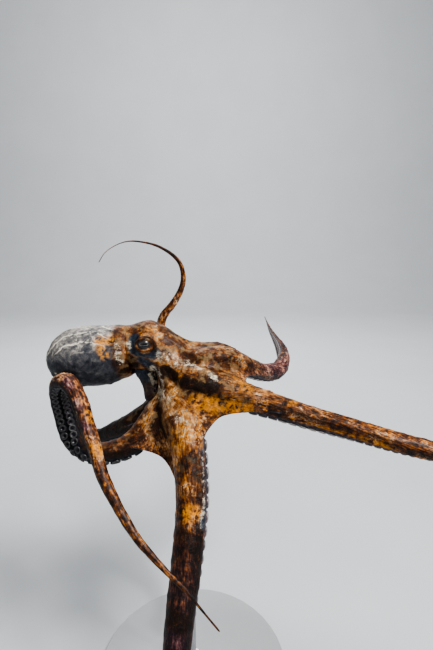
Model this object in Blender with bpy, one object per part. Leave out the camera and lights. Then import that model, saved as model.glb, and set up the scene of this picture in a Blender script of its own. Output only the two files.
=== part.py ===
"""A day octopus drifting in open water, as a still life-size model on a display stand.

Metres, +Z up, +X to the animal's front as it swims, mantle first towards -X. The origin is the
centre of the stand's underside. Every place on the animal is given from the centre of its arm
crown, in millimetres, as (right, away, up). The body runs along one spine: crown, head, neck,
mantle. Eight arms leave the crown, with a web of skin between each two. Each arm is a loft along a
smooth route, and is cut into four lengths. Neighbours keep a gap of 0.3 mm.
"""

import math

import bmesh
import bpy
import numpy as np
from mathutils import Matrix, Vector

MM = 0.001
GAP = 0.3  # millimetres between two neighbouring pieces

# Stand
CROWN_PLACE = np.array([-10.0, -2.0, 500.0])  # from the centre of the stand's underside
BASE_RADIUS = 150.0
BASE_THICKNESS = 12.0
BASE_EDGE = 1.5
COLLAR_RADIUS = 15.0
COLLAR_HEIGHT = 14.0
ROD_RADIUS = 5.0
ROD_TOP = 24.0  # above the crown's centre

# Crown: the ring that the arms leave
RING_RADIUS = 36.0
RING_RISE = 6.0  # how much wider the ring is towards the back of the head
CROWN_LENGTH = 20.0  # along each arm, from the ring to the first cut
MOUTH_RADIUS = 13.0
MOUTH_DEPTH = 9.0
ARM_SPACING = 45.0  # degrees round the crown

# Arms
STATION = 19.5  # distance between two rings of an arm's loft
ARM_CUTS = (7, 15, 23)  # the stations where an arm is divided into lengths
ROUNDNESS = 0.95  # height of an arm's back over its half width
SUCKER_SIDE = 0.72  # depth of an arm's flat side over its half width
SUCKER_RISE = 0.20  # how far a sucker stands out, over the half width
TIP_HALF_WIDTH = 0.9
NEIGHBOUR_MARGIN = 2.5  # half of the least space between two arms

# Web
WEB_GAP = 0.45
WEB_HALF_THICKNESS = 1.5
WEB_ROOT_EXTRA = 3.5  # how much thicker half of it is at the ring
WEB_ROOT_REACH = 45.0  # the distance over which that extra fades
WEB_SAG = 3.0  # how far it hangs in towards the mouth, midway
WEB_HEIGHT = 0.45  # where it joins an arm's side near the crown, over the half width
WEB_HEIGHT_REACH = 150.0
# How many stations each web follows its two arms for, round the crown from right_1 to right_2
WEB_REACHES = [(6, 4), (6, 4), (8, 3), (3, 3), (4, 7), (4, 7), (4, 6), (3, 3)]
# How much shorter each web is midway between its two arms, as a share
WEB_DIPS = [0.42, 0.42, 0.34, 0.42, 0.42, 0.42, 0.42, 0.42]

# Head and mantle: places on the spine, and at each distance behind the head's centre the
# height of the back, the depth of the belly and the half width.
SPINE = [(-44, 4, 41), (-75, 4, 36), (-133, 4, 27), (-184, 4, 24)]
BODY_PROFILE = [
    (0, 37, 35, 33),
    (12, 35, 32, 30),
    (24, 34, 28, 30),
    (34, 36, 34, 35),
    (50, 38, 40, 40),
    (70, 41, 42, 43),
    (90, 42, 40, 44),
    (110, 39, 37, 41),
    (124, 32, 31, 34),
    (134, 21, 21, 24),
    (139.5, 10, 10, 12),
]
COLLAR_PLACE = 24.0  # where the mantle's edge crosses the neck
COLLAR_STEP = 4.0  # how far that edge stands out from the neck, at the sides and below
HEAD_ROWS_TO_RING = 4
HEAD_ROWS_TO_NECK = 3
MANTLE_PLACES = (COLLAR_PLACE, 30, 38, 51, 67, 84, 101, 116, 128, 136, 139.5)
MANTLE_SIDES = 24

# Eyes
EYE_TILT = 19.0  # degrees above the side of the head
EYE_FORWARD = -1.0
EYE_RADIUS = 10.5
EYE_DISTANCE = 33.5  # from the spine to the eye's centre
EYE_MOUND = 8.0
EYE_MOUND_SPREAD = 13.5

# Funnel: the tube below the neck that the animal jets from
FUNNEL_PLACES = [(-58, 0, 25), (-43, -4, -7), (-41, -8, -31)]
FUNNEL_RADII = (15.0, 13.0, 9.5)
FUNNEL_BORE = 6.5
FUNNEL_BORE_DEPTH = 9.0
FUNNEL_SIDES = 12

UP, DOWN = np.array([0, 0, 1.0]), np.array([0, 0, -1.0])
RIGHT, LEFT = np.array([1.0, 0, 0]), np.array([-1.0, 0, 0])
AWAY, NEAR = np.array([0, 1.0, 0]), np.array([0, -1.0, 0])

# Each arm: how far it leans out of the crown at its start (0 to 1), its width at the base, how
# fast it tapers, its route, and which way its back faces at some shares of its length.
ARMS = {
    "arm_right_1": dict(
        lean=0.65,
        width=38,
        taper=1.05,
        route=[
            (61, -8, 27), (90, 16, 8), (117, 44, -9), (143, 74, -15), (157, 108, -9),
            (160, 160, -3), (161, 235, -5), (160, 310, -4), (160, 375, 0), (160, 420, 3),
        ],
        faces=[
            (0.10, UP + 0.3 * NEAR), (0.22, UP), (0.31, UP + RIGHT), (0.42, RIGHT + 0.3 * DOWN),
            (1.0, RIGHT),
        ],
    ),
    "arm_right_2": dict(
        lean=0.7,
        width=41,
        taper=0.95,
        route=[
            (42, -50, 5), (68, -61, -2), (97, -71, -8), (147, -92, -17), (200, -113, -25),
            (249, -132, -32), (300, -146, -40), (360, -152, -54), (425, -147, -66),
            (485, -133, -64), (532, -113, -46), (556, -96, -18),
        ],
        faces=[
            (0.08, UP + 0.8 * NEAR), (0.16, UP + 0.1 * NEAR), (0.24, UP + 0.35 * AWAY),
            (0.36, UP + 0.25 * AWAY), (0.5, 2 * UP + NEAR), (0.8, UP + NEAR), (1.0, NEAR),
        ],
    ),
    "arm_right_3": dict(
        lean=0.75,
        width=46,
        taper=0.86,
        route=[
            (6, -62, -30), (14, -88, -57), (19, -114, -86), (20, -137, -116), (17, -160, -144),
            (13, -185, -174), (9, -213, -206), (7, -243, -252), (8, -262, -310), (8, -268, -368),
            (2, -252, -420), (-12, -214, -446), (-30, -176, -440), (-42, -158, -414),
        ],
        faces=[
            (0.08, NEAR + 0.4 * UP + 0.4 * LEFT), (0.14, NEAR + 1.3 * LEFT),
            (0.24, NEAR + 1.5 * LEFT), (0.34, NEAR + 0.7 * LEFT), (0.6, NEAR + 0.6 * LEFT),
            (0.8, NEAR + 0.3 * DOWN), (1.0, DOWN),
        ],
    ),
    "arm_right_4": dict(
        lean=0.9,
        width=39,
        taper=0.9,
        route=[
            (-38, -31, -55), (-60, -42, -77), (-91, -46, -91), (-120, -42, -92), (-146, -30, -77),
            (-158, -24, -45), (-158, -36, -12), (-148, -54, 10), (-133, -70, 16), (-119, -86, 8),
            (-109, -99, -5), (-91, -125, -33), (-72, -153, -64), (-35, -186, -106),
            (-5, -206, -127), (20, -219, -143), (36, -228, -157), (51, -236, -170),
        ],
        faces=[
            (0.08, UP + 0.4 * NEAR + 0.4 * LEFT), (0.16, UP + 0.35 * AWAY),
            (0.24, 0.5 * UP + AWAY + 0.3 * LEFT), (0.30, AWAY + 0.35 * LEFT),
            (0.38, AWAY + 0.45 * LEFT), (0.44, UP + 0.9 * AWAY + 0.3 * LEFT),
            (0.475, UP + 0.3 * NEAR + 0.3 * RIGHT), (0.53, RIGHT + 0.6 * NEAR + 0.4 * UP),
            (0.65, NEAR + 0.5 * UP + 0.7 * RIGHT), (1.0, NEAR + 0.7 * UP + 0.3 * RIGHT),
        ],
    ),
    "arm_left_4": dict(
        lean=0.9,
        width=36,
        taper=0.95,
        route=[
            (-45, 16, -56), (-74, 20, -77), (-105, 36, -98), (-138, 60, -120), (-172, 92, -128),
            (-205, 140, -118), (-226, 190, -95), (-228, 236, -70), (-206, 262, -52),
            (-176, 262, -52), (-160, 244, -70), (-170, 224, -88),
        ],
        faces=[
            (0.08, UP + 0.6 * LEFT), (0.3, UP), (0.5, UP + LEFT), (0.68, LEFT + 0.3 * AWAY),
            (0.8, AWAY + UP), (0.9, RIGHT + UP), (1.0, RIGHT + DOWN),
        ],
    ),
    "arm_left_3": dict(
        lean=0.8,
        width=40,
        taper=0.95,
        route=[
            (0, 60, -50), (5, 82, -115), (5, 98, -186), (2, 106, -258), (-4, 104, -325),
            (-10, 86, -378), (-16, 56, -400), (-20, 28, -390), (-21, 14, -364), (-18, 24, -342),
            (-14, 42, -344),
        ],
        faces=[
            (0.08, AWAY + 0.5 * LEFT), (0.35, AWAY + 0.5 * LEFT), (0.6, AWAY + 0.3 * DOWN),
            (0.75, DOWN), (0.87, NEAR), (1.0, UP),
        ],
    ),
    "arm_left_2": dict(
        lean=0.97,
        width=36,
        taper=1.2,
        route=[
            (14, 70, 4), (6, 112, -8), (-12, 170, -20), (-30, 218, -26), (-50, 250, -16),
            (-62, 264, 6), (-57, 262, 33), (-40, 257, 55), (-26, 256, 76), (-17, 256, 98),
            (-16, 255, 119), (-21, 254, 137), (-32, 252, 151), (-50, 250, 164), (-70, 247, 173),
            (-92, 242, 178), (-113, 237, 179), (-133, 231, 173), (-154, 223, 159),
            (-165, 219, 142),
        ],
        faces=[
            (0.08, UP + 0.8 * LEFT), (0.2, UP + 0.4 * LEFT), (0.38, UP), (0.5, RIGHT + NEAR),
            (0.6, RIGHT + 0.5 * NEAR), (0.74, UP + RIGHT), (0.88, UP + 0.2 * LEFT),
            (1.0, UP + LEFT),
        ],
    ),
    "arm_left_1": dict(
        lean=0.65,
        width=38,
        taper=0.95,
        route=[
            (54, 33, 21), (69, 64, 3), (79, 102, -19), (88, 160, -54), (92, 234, -98),
            (90, 306, -142), (80, 379, -178), (62, 440, -196), (44, 486, -188),
        ],
        faces=[
            (0.08, UP + 0.3 * AWAY), (0.4, UP + 0.5 * RIGHT), (1.0, UP + RIGHT),
        ],
    ),
}
LENGTH_NAMES = ("base", "middle", "outer", "tip")

SKIN = dict(color=(0.42, 0.17, 0.05), roughness=0.45, metallic=0.0)
PALE_SKIN = dict(color=(0.40, 0.36, 0.31), roughness=0.45, metallic=0.0)
WEB_SKIN = dict(color=(0.46, 0.24, 0.10), roughness=0.45, metallic=0.0)
EYE_FINISH = dict(color=(0.05, 0.045, 0.04), roughness=0.08, metallic=0.0)
STEEL = dict(color=(0.55, 0.56, 0.57), roughness=0.3, metallic=1.0)
BASE_PAINT = dict(color=(0.62, 0.62, 0.60), roughness=0.5, metallic=0.0)


def unit(v):
    """The same directions at length one; v is one vector or an array of them."""
    v = np.asarray(v, float)
    return v / np.linalg.norm(v, axis=-1, keepdims=True)


def mix(a, b, t):
    """The value a share t of the way from a to b."""
    return a + (b - a) * t


def ease(t):
    """0 to 1 with a gentle start and end, held outside."""
    t = np.clip(t, 0, 1)
    return t * t * (3 - 2 * t)


def smooth_curve(points, per_span=20):
    """A centripetal Catmull-Rom curve through the points, as a close-set polyline."""
    p = np.array(points, float)
    p = np.vstack([2 * p[0] - p[1], p, 2 * p[-1] - p[-2]])
    knots = np.concatenate([[0], np.cumsum(np.sqrt(np.linalg.norm(np.diff(p, axis=0), axis=1)))])
    made = []
    for i in range(1, len(p) - 2):
        k0, k1, k2, k3 = knots[i - 1 : i + 3]
        t = np.linspace(k1, k2, per_span, endpoint=False)[:, None]
        a1 = mix(p[i - 1], p[i], (t - k0) / (k1 - k0))
        a2 = mix(p[i], p[i + 1], (t - k1) / (k2 - k1))
        a3 = mix(p[i + 1], p[i + 2], (t - k2) / (k3 - k2))
        b1 = mix(a1, a2, (t - k0) / (k2 - k0))
        b2 = mix(a2, a3, (t - k1) / (k3 - k1))
        made.append(mix(b1, b2, (t - k1) / (k2 - k1)))
    made.append(p[-2:-1])
    return np.vstack(made)


class Line:
    """A smooth curve that can be asked for its point and direction at any distance along it."""

    def __init__(self, points):
        self.points = smooth_curve(points)
        steps = np.linalg.norm(np.diff(self.points, axis=0), axis=1)
        self.along = np.concatenate([[0], np.cumsum(steps)])
        self.length = self.along[-1]

    def point(self, s):
        return np.array([np.interp(s, self.along, self.points[:, k]) for k in range(3)])

    def nearest(self, place):
        """Distance along the curve to its point nearest to a place."""
        return self.along[np.argmin(np.linalg.norm(self.points - place, axis=1))]

    def direction(self, s, reach=4.0):
        low, high = max(0, s - reach), min(self.length, s + reach)
        return unit(self.point(high) - self.point(low))


# The crown's axes: towards the head, towards the back of the head, and towards the near side.
AXIS = unit(SPINE[0])
NEAR_SIDE = unit(NEAR - AXIS * (NEAR @ AXIS))
BACK_SIDE = unit(np.cross(NEAR_SIDE, -AXIS))


class Arm:
    """One arm: its route from the ring of the crown, and its cross-section at any distance."""

    def __init__(self, name, order, lean, width, taper, route, faces):
        turn = math.radians(ARM_SPACING * (order + 0.5))
        self.name = name
        self.width = width
        self.taper = taper
        self.out = math.cos(turn) * BACK_SIDE + math.sin(turn) * NEAR_SIDE
        start = (RING_RADIUS + RING_RISE * max(0.0, math.cos(turn))) * self.out
        way = unit(lean * self.out - math.sqrt(1 - lean**2) * AXIS)
        self.line = Line([start - 8 * way, start, start + 8 * way] + [np.array(p, float) for p in route])
        self.offset = self.line.nearest(start)
        self.length = self.line.length - self.offset
        self.face_shares = [0.0] + [share for share, _ in faces]
        self.face_ways = np.array([unit(0.8 * self.out + 0.6 * AXIS)] + [unit(way) for _, way in faces])
        stations = np.arange(CROWN_LENGTH, self.length - STATION * 0.4, STATION)
        self.stations = list(stations) + [self.length]
        self.neighbours = None

    def place(self, s):
        return self.line.point(self.offset + s)

    def half_width(self, s):
        left = max(0.0, 1 - s / self.length)
        return max(TIP_HALF_WIDTH, self.width / 2 * left**self.taper)

    def room(self, s, neighbour):
        """Half width towards a neighbour, which is less where the two arms crowd together."""
        wide = self.half_width(s)
        near = neighbour.line.points[neighbour.line.along < neighbour.offset + s + 40]
        free = np.linalg.norm(near - self.place(s), axis=1).min() / 2 - NEIGHBOUR_MARGIN
        sharp = 0.5
        return -math.log(math.exp(-wide * sharp) + math.exp(-free * sharp)) / sharp

    def frame(self, s):
        """Point, direction, back and side (towards the next arm) at a distance along the arm."""
        along = self.line.direction(self.offset + s)
        share = s / self.length
        way = np.array([np.interp(share, self.face_shares, self.face_ways[:, k]) for k in range(3)])
        back = unit(way - along * (way @ along))
        return self.place(s), along, back, np.cross(along, back)

    def seam(self, s):
        """Height of the web's join on the arm's side, and half its thickness there."""
        wide = self.half_width(s)
        half = WEB_HALF_THICKNESS + WEB_ROOT_EXTRA * (1 - ease(s / WEB_ROOT_REACH))
        return WEB_HEIGHT * wide * (1 - ease(s / WEB_HEIGHT_REACH)), min(half, 0.3 * wide)

    def section(self, s, sucker=(1.0, 1.0)):
        """Five points over the back and five under the sucker side, from last arm's side to next."""
        place, _, back, side = self.frame(s)
        before, after = (self.room(s, arm) for arm in self.neighbours)
        wide = self.half_width(s)
        rise = ROUNDNESS * min(wide, (before + after) / 2 + 2)
        height, half = self.seam(s)
        top, low = min(height + half, 0.62 * rise), height - half
        shoulder = mix(top, rise, 0.6)
        over = [
            (-before, top),
            (-0.7 * before, shoulder),
            (0, rise),
            (0.7 * after, shoulder),
            (after, top),
        ]
        flat = SUCKER_SIDE * wide
        stand = SUCKER_RISE * wide
        under = [
            (-before, low),
            (-0.55 * before, -flat - stand * sucker[0]),
            (0, -0.8 * flat),
            (0.55 * after, -flat - stand * sucker[1]),
            (after, low),
        ]
        return tuple(np.array([place + x * side + z * back for x, z in half]) for half in (over, under))

    def edge(self, s, towards):
        """Middle of the web's join on one side of the arm: -1 for last arm's, 1 for next arm's."""
        over, under = self.section(s)
        column = 0 if towards < 0 else -1
        return (over[column] + under[column]) / 2


def arms_in_order():
    arms = [Arm(name, order, **spec) for order, (name, spec) in enumerate(ARMS.items())]
    for i, arm in enumerate(arms):
        arm.neighbours = (arms[i - 1], arms[(i + 1) % len(arms)])
    return arms


def crown_ring(arms, s, under):
    """A closed loop round the crown at a distance along every arm, over the backs or under them."""
    loop = []
    halves = [arm.section(s)[1 if under else 0] for arm in arms]
    for i, half in enumerate(halves):
        loop.extend(half)
        loop.append((half[-1] + halves[(i + 1) % len(halves)][0]) / 2)
    return np.array(loop)


# Solids


def new_object(name, mesh, finish, collection):
    """Puts the mesh in the scene as a named part with its own material."""
    obj = bpy.data.objects.new(name, mesh)
    material = bpy.data.materials.new(name)
    material.use_nodes = True
    shader = material.node_tree.nodes["Principled BSDF"]
    shader.inputs["Base Color"].default_value = (*finish["color"], 1)
    shader.inputs["Roughness"].default_value = finish["roughness"]
    shader.inputs["Metallic"].default_value = finish["metallic"]
    mesh.materials.append(material)
    mesh.shade_smooth()
    mesh.set_sharp_from_angle(angle=math.radians(50))
    collection.objects.link(obj)
    return obj


def loft(name, rings, finish, collection, start=None, end=None):
    """A closed solid through rings of equal count. start and end are the middles of its end fans."""
    bm = bmesh.new()
    rows = [[bm.verts.new((CROWN_PLACE + p) * MM) for p in ring] for ring in rings]
    count = len(rows[0])
    for low, high in zip(rows, rows[1:]):
        for j in range(count):
            k = (j + 1) % count
            bm.faces.new((low[j], low[k], high[k], high[j]))
    for row, middle in ((rows[0], start), (rows[-1], end)):
        if middle is None:
            bm.faces.new(row)
            continue
        centre = bm.verts.new((CROWN_PLACE + middle) * MM)
        for j in range(count):
            bm.faces.new((row[j], row[(j + 1) % count], centre))
    bmesh.ops.remove_doubles(bm, verts=bm.verts, dist=1e-6)
    bmesh.ops.triangulate(bm, faces=bm.faces, quad_method="SHORT_EDGE")
    bmesh.ops.recalc_face_normals(bm, faces=bm.faces)
    mesh = bpy.data.meshes.new(name)
    bm.to_mesh(mesh)
    bm.free()
    return new_object(name, mesh, finish, collection)


def arm_ring(arm, s, sucker=(1.0, 1.0)):
    """The arm's whole outline: over the back one way and under it the other."""
    over, under = arm.section(s, sucker)
    return np.vstack([over, under[::-1]])


def build_arm(arm, parts):
    """The arm's four lengths. Suckers alternate: where one row stands out, the other is low."""
    cuts = (0,) + ARM_CUTS + (len(arm.stations) - 1,)
    for name, first, last in zip(LENGTH_NAMES, cuts, cuts[1:]):
        rings = []
        for k in range(first, last + 1):
            s = arm.stations[k]
            if k == first:
                s += GAP / 2
            elif k == last and last != cuts[-1]:
                s -= GAP / 2
            rings.append(arm_ring(arm, s, sucker=(k % 2, (k + 1) % 2)))
        loft(f"{arm.name}_{name}", rings, SKIN, parts)


def clear_of(way, other):
    """The step that leaves two faces by the web's gap each, given the directions they face."""
    slant = way @ other
    share = WEB_GAP / (1 + slant)
    return share * (way + other)


def build_web(before, after, reaches, dip, parts):
    """The sheet of skin between two arms: short midway, long beside each arm, sagging in a little."""
    shares = np.linspace(0, 1, 5)
    rows = max(reaches)
    middle, normal, sides = (np.zeros((rows + 1, len(shares), 3)) for _ in range(3))
    half = np.zeros((rows + 1, len(shares)))
    for row in range(rows + 1):
        for column, share in enumerate(shares):
            across = 4 * share * (1 - share)
            part = mix(min(row / reaches[0], 1), min(row / reaches[1], 1), share)
            part *= 1 - dip * across**0.7
            s1, s2 = (CROWN_LENGTH + part * reach * STATION for reach in reaches)
            _, _, back1, side1 = before.frame(s1)
            _, _, back2, side2 = after.frame(s2)
            sag = WEB_SAG * across * min(1.0, part * 2)
            level = mix(before.edge(s1, 1), after.edge(s2, -1), share)
            middle[row, column] = level - sag * unit(back1 + back2)
            thick = mix(before.seam(s1)[1], after.seam(s2)[1], share)
            half[row, column] = thick * mix(0.95, 0.7, across)
            sides[row, column] = side1 if share == 0 else -side2
            normal[row, column] = unit(mix(back1, back2, share))
    facing = np.cross(np.gradient(middle, axis=1), np.gradient(middle, axis=0))
    normal[1:, 1:-1] = unit(facing[1:, 1:-1])
    onward = unit(np.cross(normal[0], middle[0, -1] - middle[0, 0]))
    middle[0, 1:-1] += WEB_GAP * onward[1:-1]
    middle[1:, 0] += WEB_GAP * sides[1:, 0]
    middle[1:, -1] += WEB_GAP * sides[1:, -1]
    for column in (0, -1):
        middle[0, column] += clear_of(onward[column], sides[0, column])
    offset = normal * half[..., None]
    rings = [np.vstack([m + o, (m - o)[::-1]]) for m, o in zip(middle, offset)]
    name = f"web_{before.name[4:]}_to_{after.name[4:]}"
    return loft(name, rings, WEB_SKIN, parts)


def body_frame(spine, s):
    """Point on the spine and the way the back faces, at a distance behind the head's centre."""
    along = spine.direction(s)
    return spine.point(s), unit(UP - along * (UP @ along))


def body_point(spine, s, angle, step=0.0):
    """A point on the head, neck or mantle. angle is 0 on the back and a quarter turn on the near
    side. step is how far it stands out, all round but on the back."""
    table = np.array(BODY_PROFILE, float)
    high, low, wide = (np.interp(s, table[:, 0], table[:, k]) for k in (1, 2, 3))
    place, back = body_frame(spine, s)
    lift = math.cos(angle)
    grow = step * ease((1 - lift) / 1.2)
    tall = (high if lift > 0 else low) + grow
    return place + lift * tall * back + math.sin(angle) * (wide + grow) * NEAR


def eye_way(side):
    """Direction from the spine to the eye on the near (1) or far (-1) side."""
    tilt = math.radians(EYE_TILT)
    return math.cos(tilt) * side * NEAR + math.sin(tilt) * UP


def eye_centre(side):
    return np.array(SPINE[0], float) + EYE_FORWARD * RIGHT + EYE_DISTANCE * eye_way(side)


def raise_mounds(points):
    """Lifts the skin round both eyes into low mounds."""
    raised = points.copy()
    for side in (1, -1):
        reach = np.linalg.norm(points - eye_centre(side), axis=1)
        raised += (EYE_MOUND * np.exp(-((reach / EYE_MOUND_SPREAD) ** 2)))[:, None] * eye_way(side)
    return raised


def head_rings(arms, spine):
    """From the crown's ring up to the middle of the head, then back along the neck."""
    ring = crown_ring(arms, 0, under=False)
    below = crown_ring(arms, 2.0, under=False)
    leave = unit(ring - below)
    angles = [math.atan2(p @ NEAR_SIDE, p @ BACK_SIDE) for p in ring]
    head = np.array([body_point(spine, 0, a) for a in angles])
    onward = spine.direction(0)
    span = np.linalg.norm(head - ring, axis=1)[:, None]
    rings = []
    for row in range(HEAD_ROWS_TO_RING):
        t = row / HEAD_ROWS_TO_RING
        starts = (2 * t**3 - 3 * t**2 + 1) * ring + (t**3 - 2 * t**2 + t) * span * leave
        ends = (3 * t**2 - 2 * t**3) * head + (t**3 - t**2) * span * onward
        rings.append(starts + ends)
    for row in range(HEAD_ROWS_TO_NECK + 1):
        s = row / HEAD_ROWS_TO_NECK * (COLLAR_PLACE - GAP)
        rings.append(np.array([body_point(spine, s, a) for a in angles]))
    return [raise_mounds(r) for r in rings]


def build_head(arms, spine, parts, cutters):
    """The head and neck, with a socket for each eye."""
    rings = head_rings(arms, spine)
    neck = spine.point(COLLAR_PLACE - GAP)
    head = loft("head", rings, PALE_SKIN, parts, start=np.zeros(3), end=neck)
    for side, name in ((1, "right"), (-1, "left")):
        cut(head, ball(f"eye_socket_{name}", eye_centre(side), EYE_RADIUS + GAP, cutters))
    return head


def build_mantle(spine, parts):
    """The sac behind the head. Its edge stands out from the neck as a collar."""
    angles = np.linspace(0, 2 * math.pi, MANTLE_SIDES, endpoint=False)
    rings = []
    for s in MANTLE_PLACES:
        step = COLLAR_STEP * (1 - ease((s - COLLAR_PLACE) / 18))
        rings.append(np.array([body_point(spine, s, a, step=step) for a in angles]))
    tip = spine.point(spine.length)
    return loft("mantle", rings, PALE_SKIN, parts, start=spine.point(COLLAR_PLACE), end=tip)


def build_crown(arms, parts):
    """The root of the arms round the mouth, from the head's ring to the first cut of every arm."""
    down = GAP * -AXIS
    inner = crown_ring(arms, 0, under=True)
    mouth = np.array([MOUTH_RADIUS * unit(p - AXIS * (p @ AXIS)) - 6 * AXIS for p in inner])
    rings = [
        crown_ring(arms, 0, under=False) + down,
        crown_ring(arms, CROWN_LENGTH / 2, under=False),
        crown_ring(arms, CROWN_LENGTH - GAP / 2, under=False),
        crown_ring(arms, CROWN_LENGTH - GAP / 2, under=True),
        crown_ring(arms, CROWN_LENGTH / 2, under=True),
        mouth,
    ]
    return loft("crown", rings, SKIN, parts, start=down, end=-MOUTH_DEPTH * AXIS)


def ball(name, centre, radius, collection):
    mesh = bpy.data.meshes.new(name)
    bm = bmesh.new()
    bmesh.ops.create_uvsphere(bm, u_segments=14, v_segments=9, radius=radius * MM)
    bm.transform(Matrix.Translation(Vector((CROWN_PLACE + centre) * MM)))
    bm.to_mesh(mesh)
    bm.free()
    return new_object(name, mesh, EYE_FINISH, collection)


def cut(body, cutter):
    """Takes the cutter's shape out of the body."""
    cutter.hide_render = True
    cutter.display_type = "WIRE"
    modifier = body.modifiers.new(cutter.name, "BOOLEAN")
    modifier.operation = "DIFFERENCE"
    modifier.object = cutter


def funnel_rings(grow):
    """The funnel's outlines, swollen by grow, and the line they follow."""
    places = [np.array(p, float) for p in FUNNEL_PLACES]
    line = Line(places)
    rings = []
    for share in (0.0, 0.25, 0.5, 0.75, 1.0):
        s = share * line.length
        along = line.direction(s)
        across = unit(np.cross(along, NEAR))
        over = np.cross(across, along)
        radius = np.interp(share, (0, 0.5, 1), FUNNEL_RADII) + grow
        turns = np.linspace(0, 2 * math.pi, FUNNEL_SIDES, endpoint=False)
        spokes = [math.cos(a) * across + math.sin(a) * over for a in turns]
        rings.append(np.array([line.point(s) + radius * spoke for spoke in spokes]))
    rings[0] = rings[0] - grow * line.direction(0)
    rings[-1] = rings[-1] + grow * line.direction(line.length)
    return rings, line


def build_funnel(neighbours, parts, cutters):
    """A short tapered tube with an open end. The head and the crown are cut to take it."""
    rings, line = funnel_rings(0)
    mouth, way = line.point(line.length), line.direction(line.length)
    lip = mouth + (rings[-1] - mouth) * (FUNNEL_BORE / FUNNEL_RADII[-1])
    floor = mouth + (lip - mouth) * 0.7 - FUNNEL_BORE_DEPTH * way
    loft("funnel", rings + [lip, floor], PALE_SKIN, parts)
    sleeve = loft("funnel_sleeve", funnel_rings(GAP)[0], PALE_SKIN, cutters)
    for body in neighbours:
        cut(body, sleeve)


def turned(name, outline, finish, parts, steps=40):
    """A piece turned about the stand's axis, from an outline of (radius, height), top to bottom."""
    mesh = bpy.data.meshes.new(name)
    bm = bmesh.new()
    verts = [bm.verts.new((r * MM, 0, z * MM)) for r, z in outline]
    for a, b in zip(verts, verts[1:]):
        bm.edges.new((a, b))
    bmesh.ops.spin(
        bm,
        geom=bm.verts[:] + bm.edges[:],
        cent=(0, 0, 0),
        axis=(0, 0, 1),
        angle=2 * math.pi,
        steps=steps,
        use_merge=True,
    )
    bmesh.ops.remove_doubles(bm, verts=bm.verts, dist=1e-5)
    bmesh.ops.recalc_face_normals(bm, faces=bm.faces)
    bm.to_mesh(mesh)
    bm.free()
    return new_object(name, mesh, finish, parts)


def build_stand(crown, head, parts, cutters):
    """A round base, a collar, and one rod up into the crown beside the mouth."""
    foot = BASE_THICKNESS + GAP
    collar_top = foot + COLLAR_HEIGHT
    rod_top = CROWN_PLACE[2] + ROD_TOP
    bore = ROD_RADIUS + GAP
    base = [
        (0, BASE_THICKNESS),
        (BASE_RADIUS - BASE_EDGE, BASE_THICKNESS),
        (BASE_RADIUS, BASE_THICKNESS - BASE_EDGE),
        (BASE_RADIUS, 0),
        (0, 0),
    ]
    turned("stand_base", base, BASE_PAINT, parts)
    collar = [
        (bore, collar_top),
        (COLLAR_RADIUS - BASE_EDGE, collar_top),
        (COLLAR_RADIUS, collar_top - BASE_EDGE),
        (COLLAR_RADIUS, foot),
        (bore, foot),
        (bore, collar_top),
    ]
    turned("stand_collar", collar, STEEL, parts, steps=20)
    rod = [(0, rod_top), (ROD_RADIUS, rod_top), (ROD_RADIUS, foot), (0, foot)]
    turned("stand_rod", rod, STEEL, parts, steps=20)
    below = CROWN_PLACE[2] - 100
    hole = [(0, rod_top + GAP), (bore, rod_top + GAP), (bore, below), (0, below)]
    sleeve = turned("rod_sleeve", hole, STEEL, cutters, steps=20)
    for body in (crown, head):
        cut(body, sleeve)


def main():
    for obj in list(bpy.data.objects):
        bpy.data.objects.remove(obj)
    parts = bpy.data.collections.new("octopus")
    cutters = bpy.data.collections.new("cutters")
    for collection in (parts, cutters):
        bpy.context.scene.collection.children.link(collection)
    arms = arms_in_order()
    spine = Line(SPINE)
    head = build_head(arms, spine, parts, cutters)
    crown = build_crown(arms, parts)
    mantle = build_mantle(spine, parts)
    build_funnel((head, crown, mantle), parts, cutters)
    for side, name in ((1, "right"), (-1, "left")):
        ball(f"eye_{name}", eye_centre(side), EYE_RADIUS, parts)
    for arm, reaches, dip in zip(arms, WEB_REACHES, WEB_DIPS):
        build_arm(arm, parts)
        build_web(arm, arm.neighbours[1], reaches, dip, parts)
    build_stand(crown, head, parts, cutters)


if __name__ == "__main__":
    main()
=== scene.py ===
"""The finished look of a day octopus that swims mantle first, on its display stand.

Lengths inside the body are millimetres from the centre of the arm crown, as (right, away, up),
and become metres when a mesh is made. One closed skin runs from the mantle's tip over the head,
out along eight arms with webs between them, and in to the mouth. Suckers, eyes and the stand are
pieces of their own.
"""

import logging
import math
from dataclasses import dataclass, field
from enum import Enum
from typing import Any, Callable, Iterable, Sequence

import bmesh
import bpy
import numpy as np
from mathutils import Matrix, Vector, noise


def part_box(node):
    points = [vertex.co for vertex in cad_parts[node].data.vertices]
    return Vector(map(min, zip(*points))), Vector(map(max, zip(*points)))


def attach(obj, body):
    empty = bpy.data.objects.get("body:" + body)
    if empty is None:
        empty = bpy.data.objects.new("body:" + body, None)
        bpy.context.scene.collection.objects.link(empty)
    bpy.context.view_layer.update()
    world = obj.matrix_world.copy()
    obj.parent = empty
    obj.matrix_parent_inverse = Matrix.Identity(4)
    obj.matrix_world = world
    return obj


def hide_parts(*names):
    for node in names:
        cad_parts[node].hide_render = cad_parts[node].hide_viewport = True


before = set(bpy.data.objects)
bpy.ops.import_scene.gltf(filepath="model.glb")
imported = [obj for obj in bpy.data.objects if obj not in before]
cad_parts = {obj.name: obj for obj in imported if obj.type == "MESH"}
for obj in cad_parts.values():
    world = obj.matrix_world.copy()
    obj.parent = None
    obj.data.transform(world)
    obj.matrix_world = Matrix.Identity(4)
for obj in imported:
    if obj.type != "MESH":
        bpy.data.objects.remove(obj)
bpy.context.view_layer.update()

log = logging.getLogger("octopus")

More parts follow.
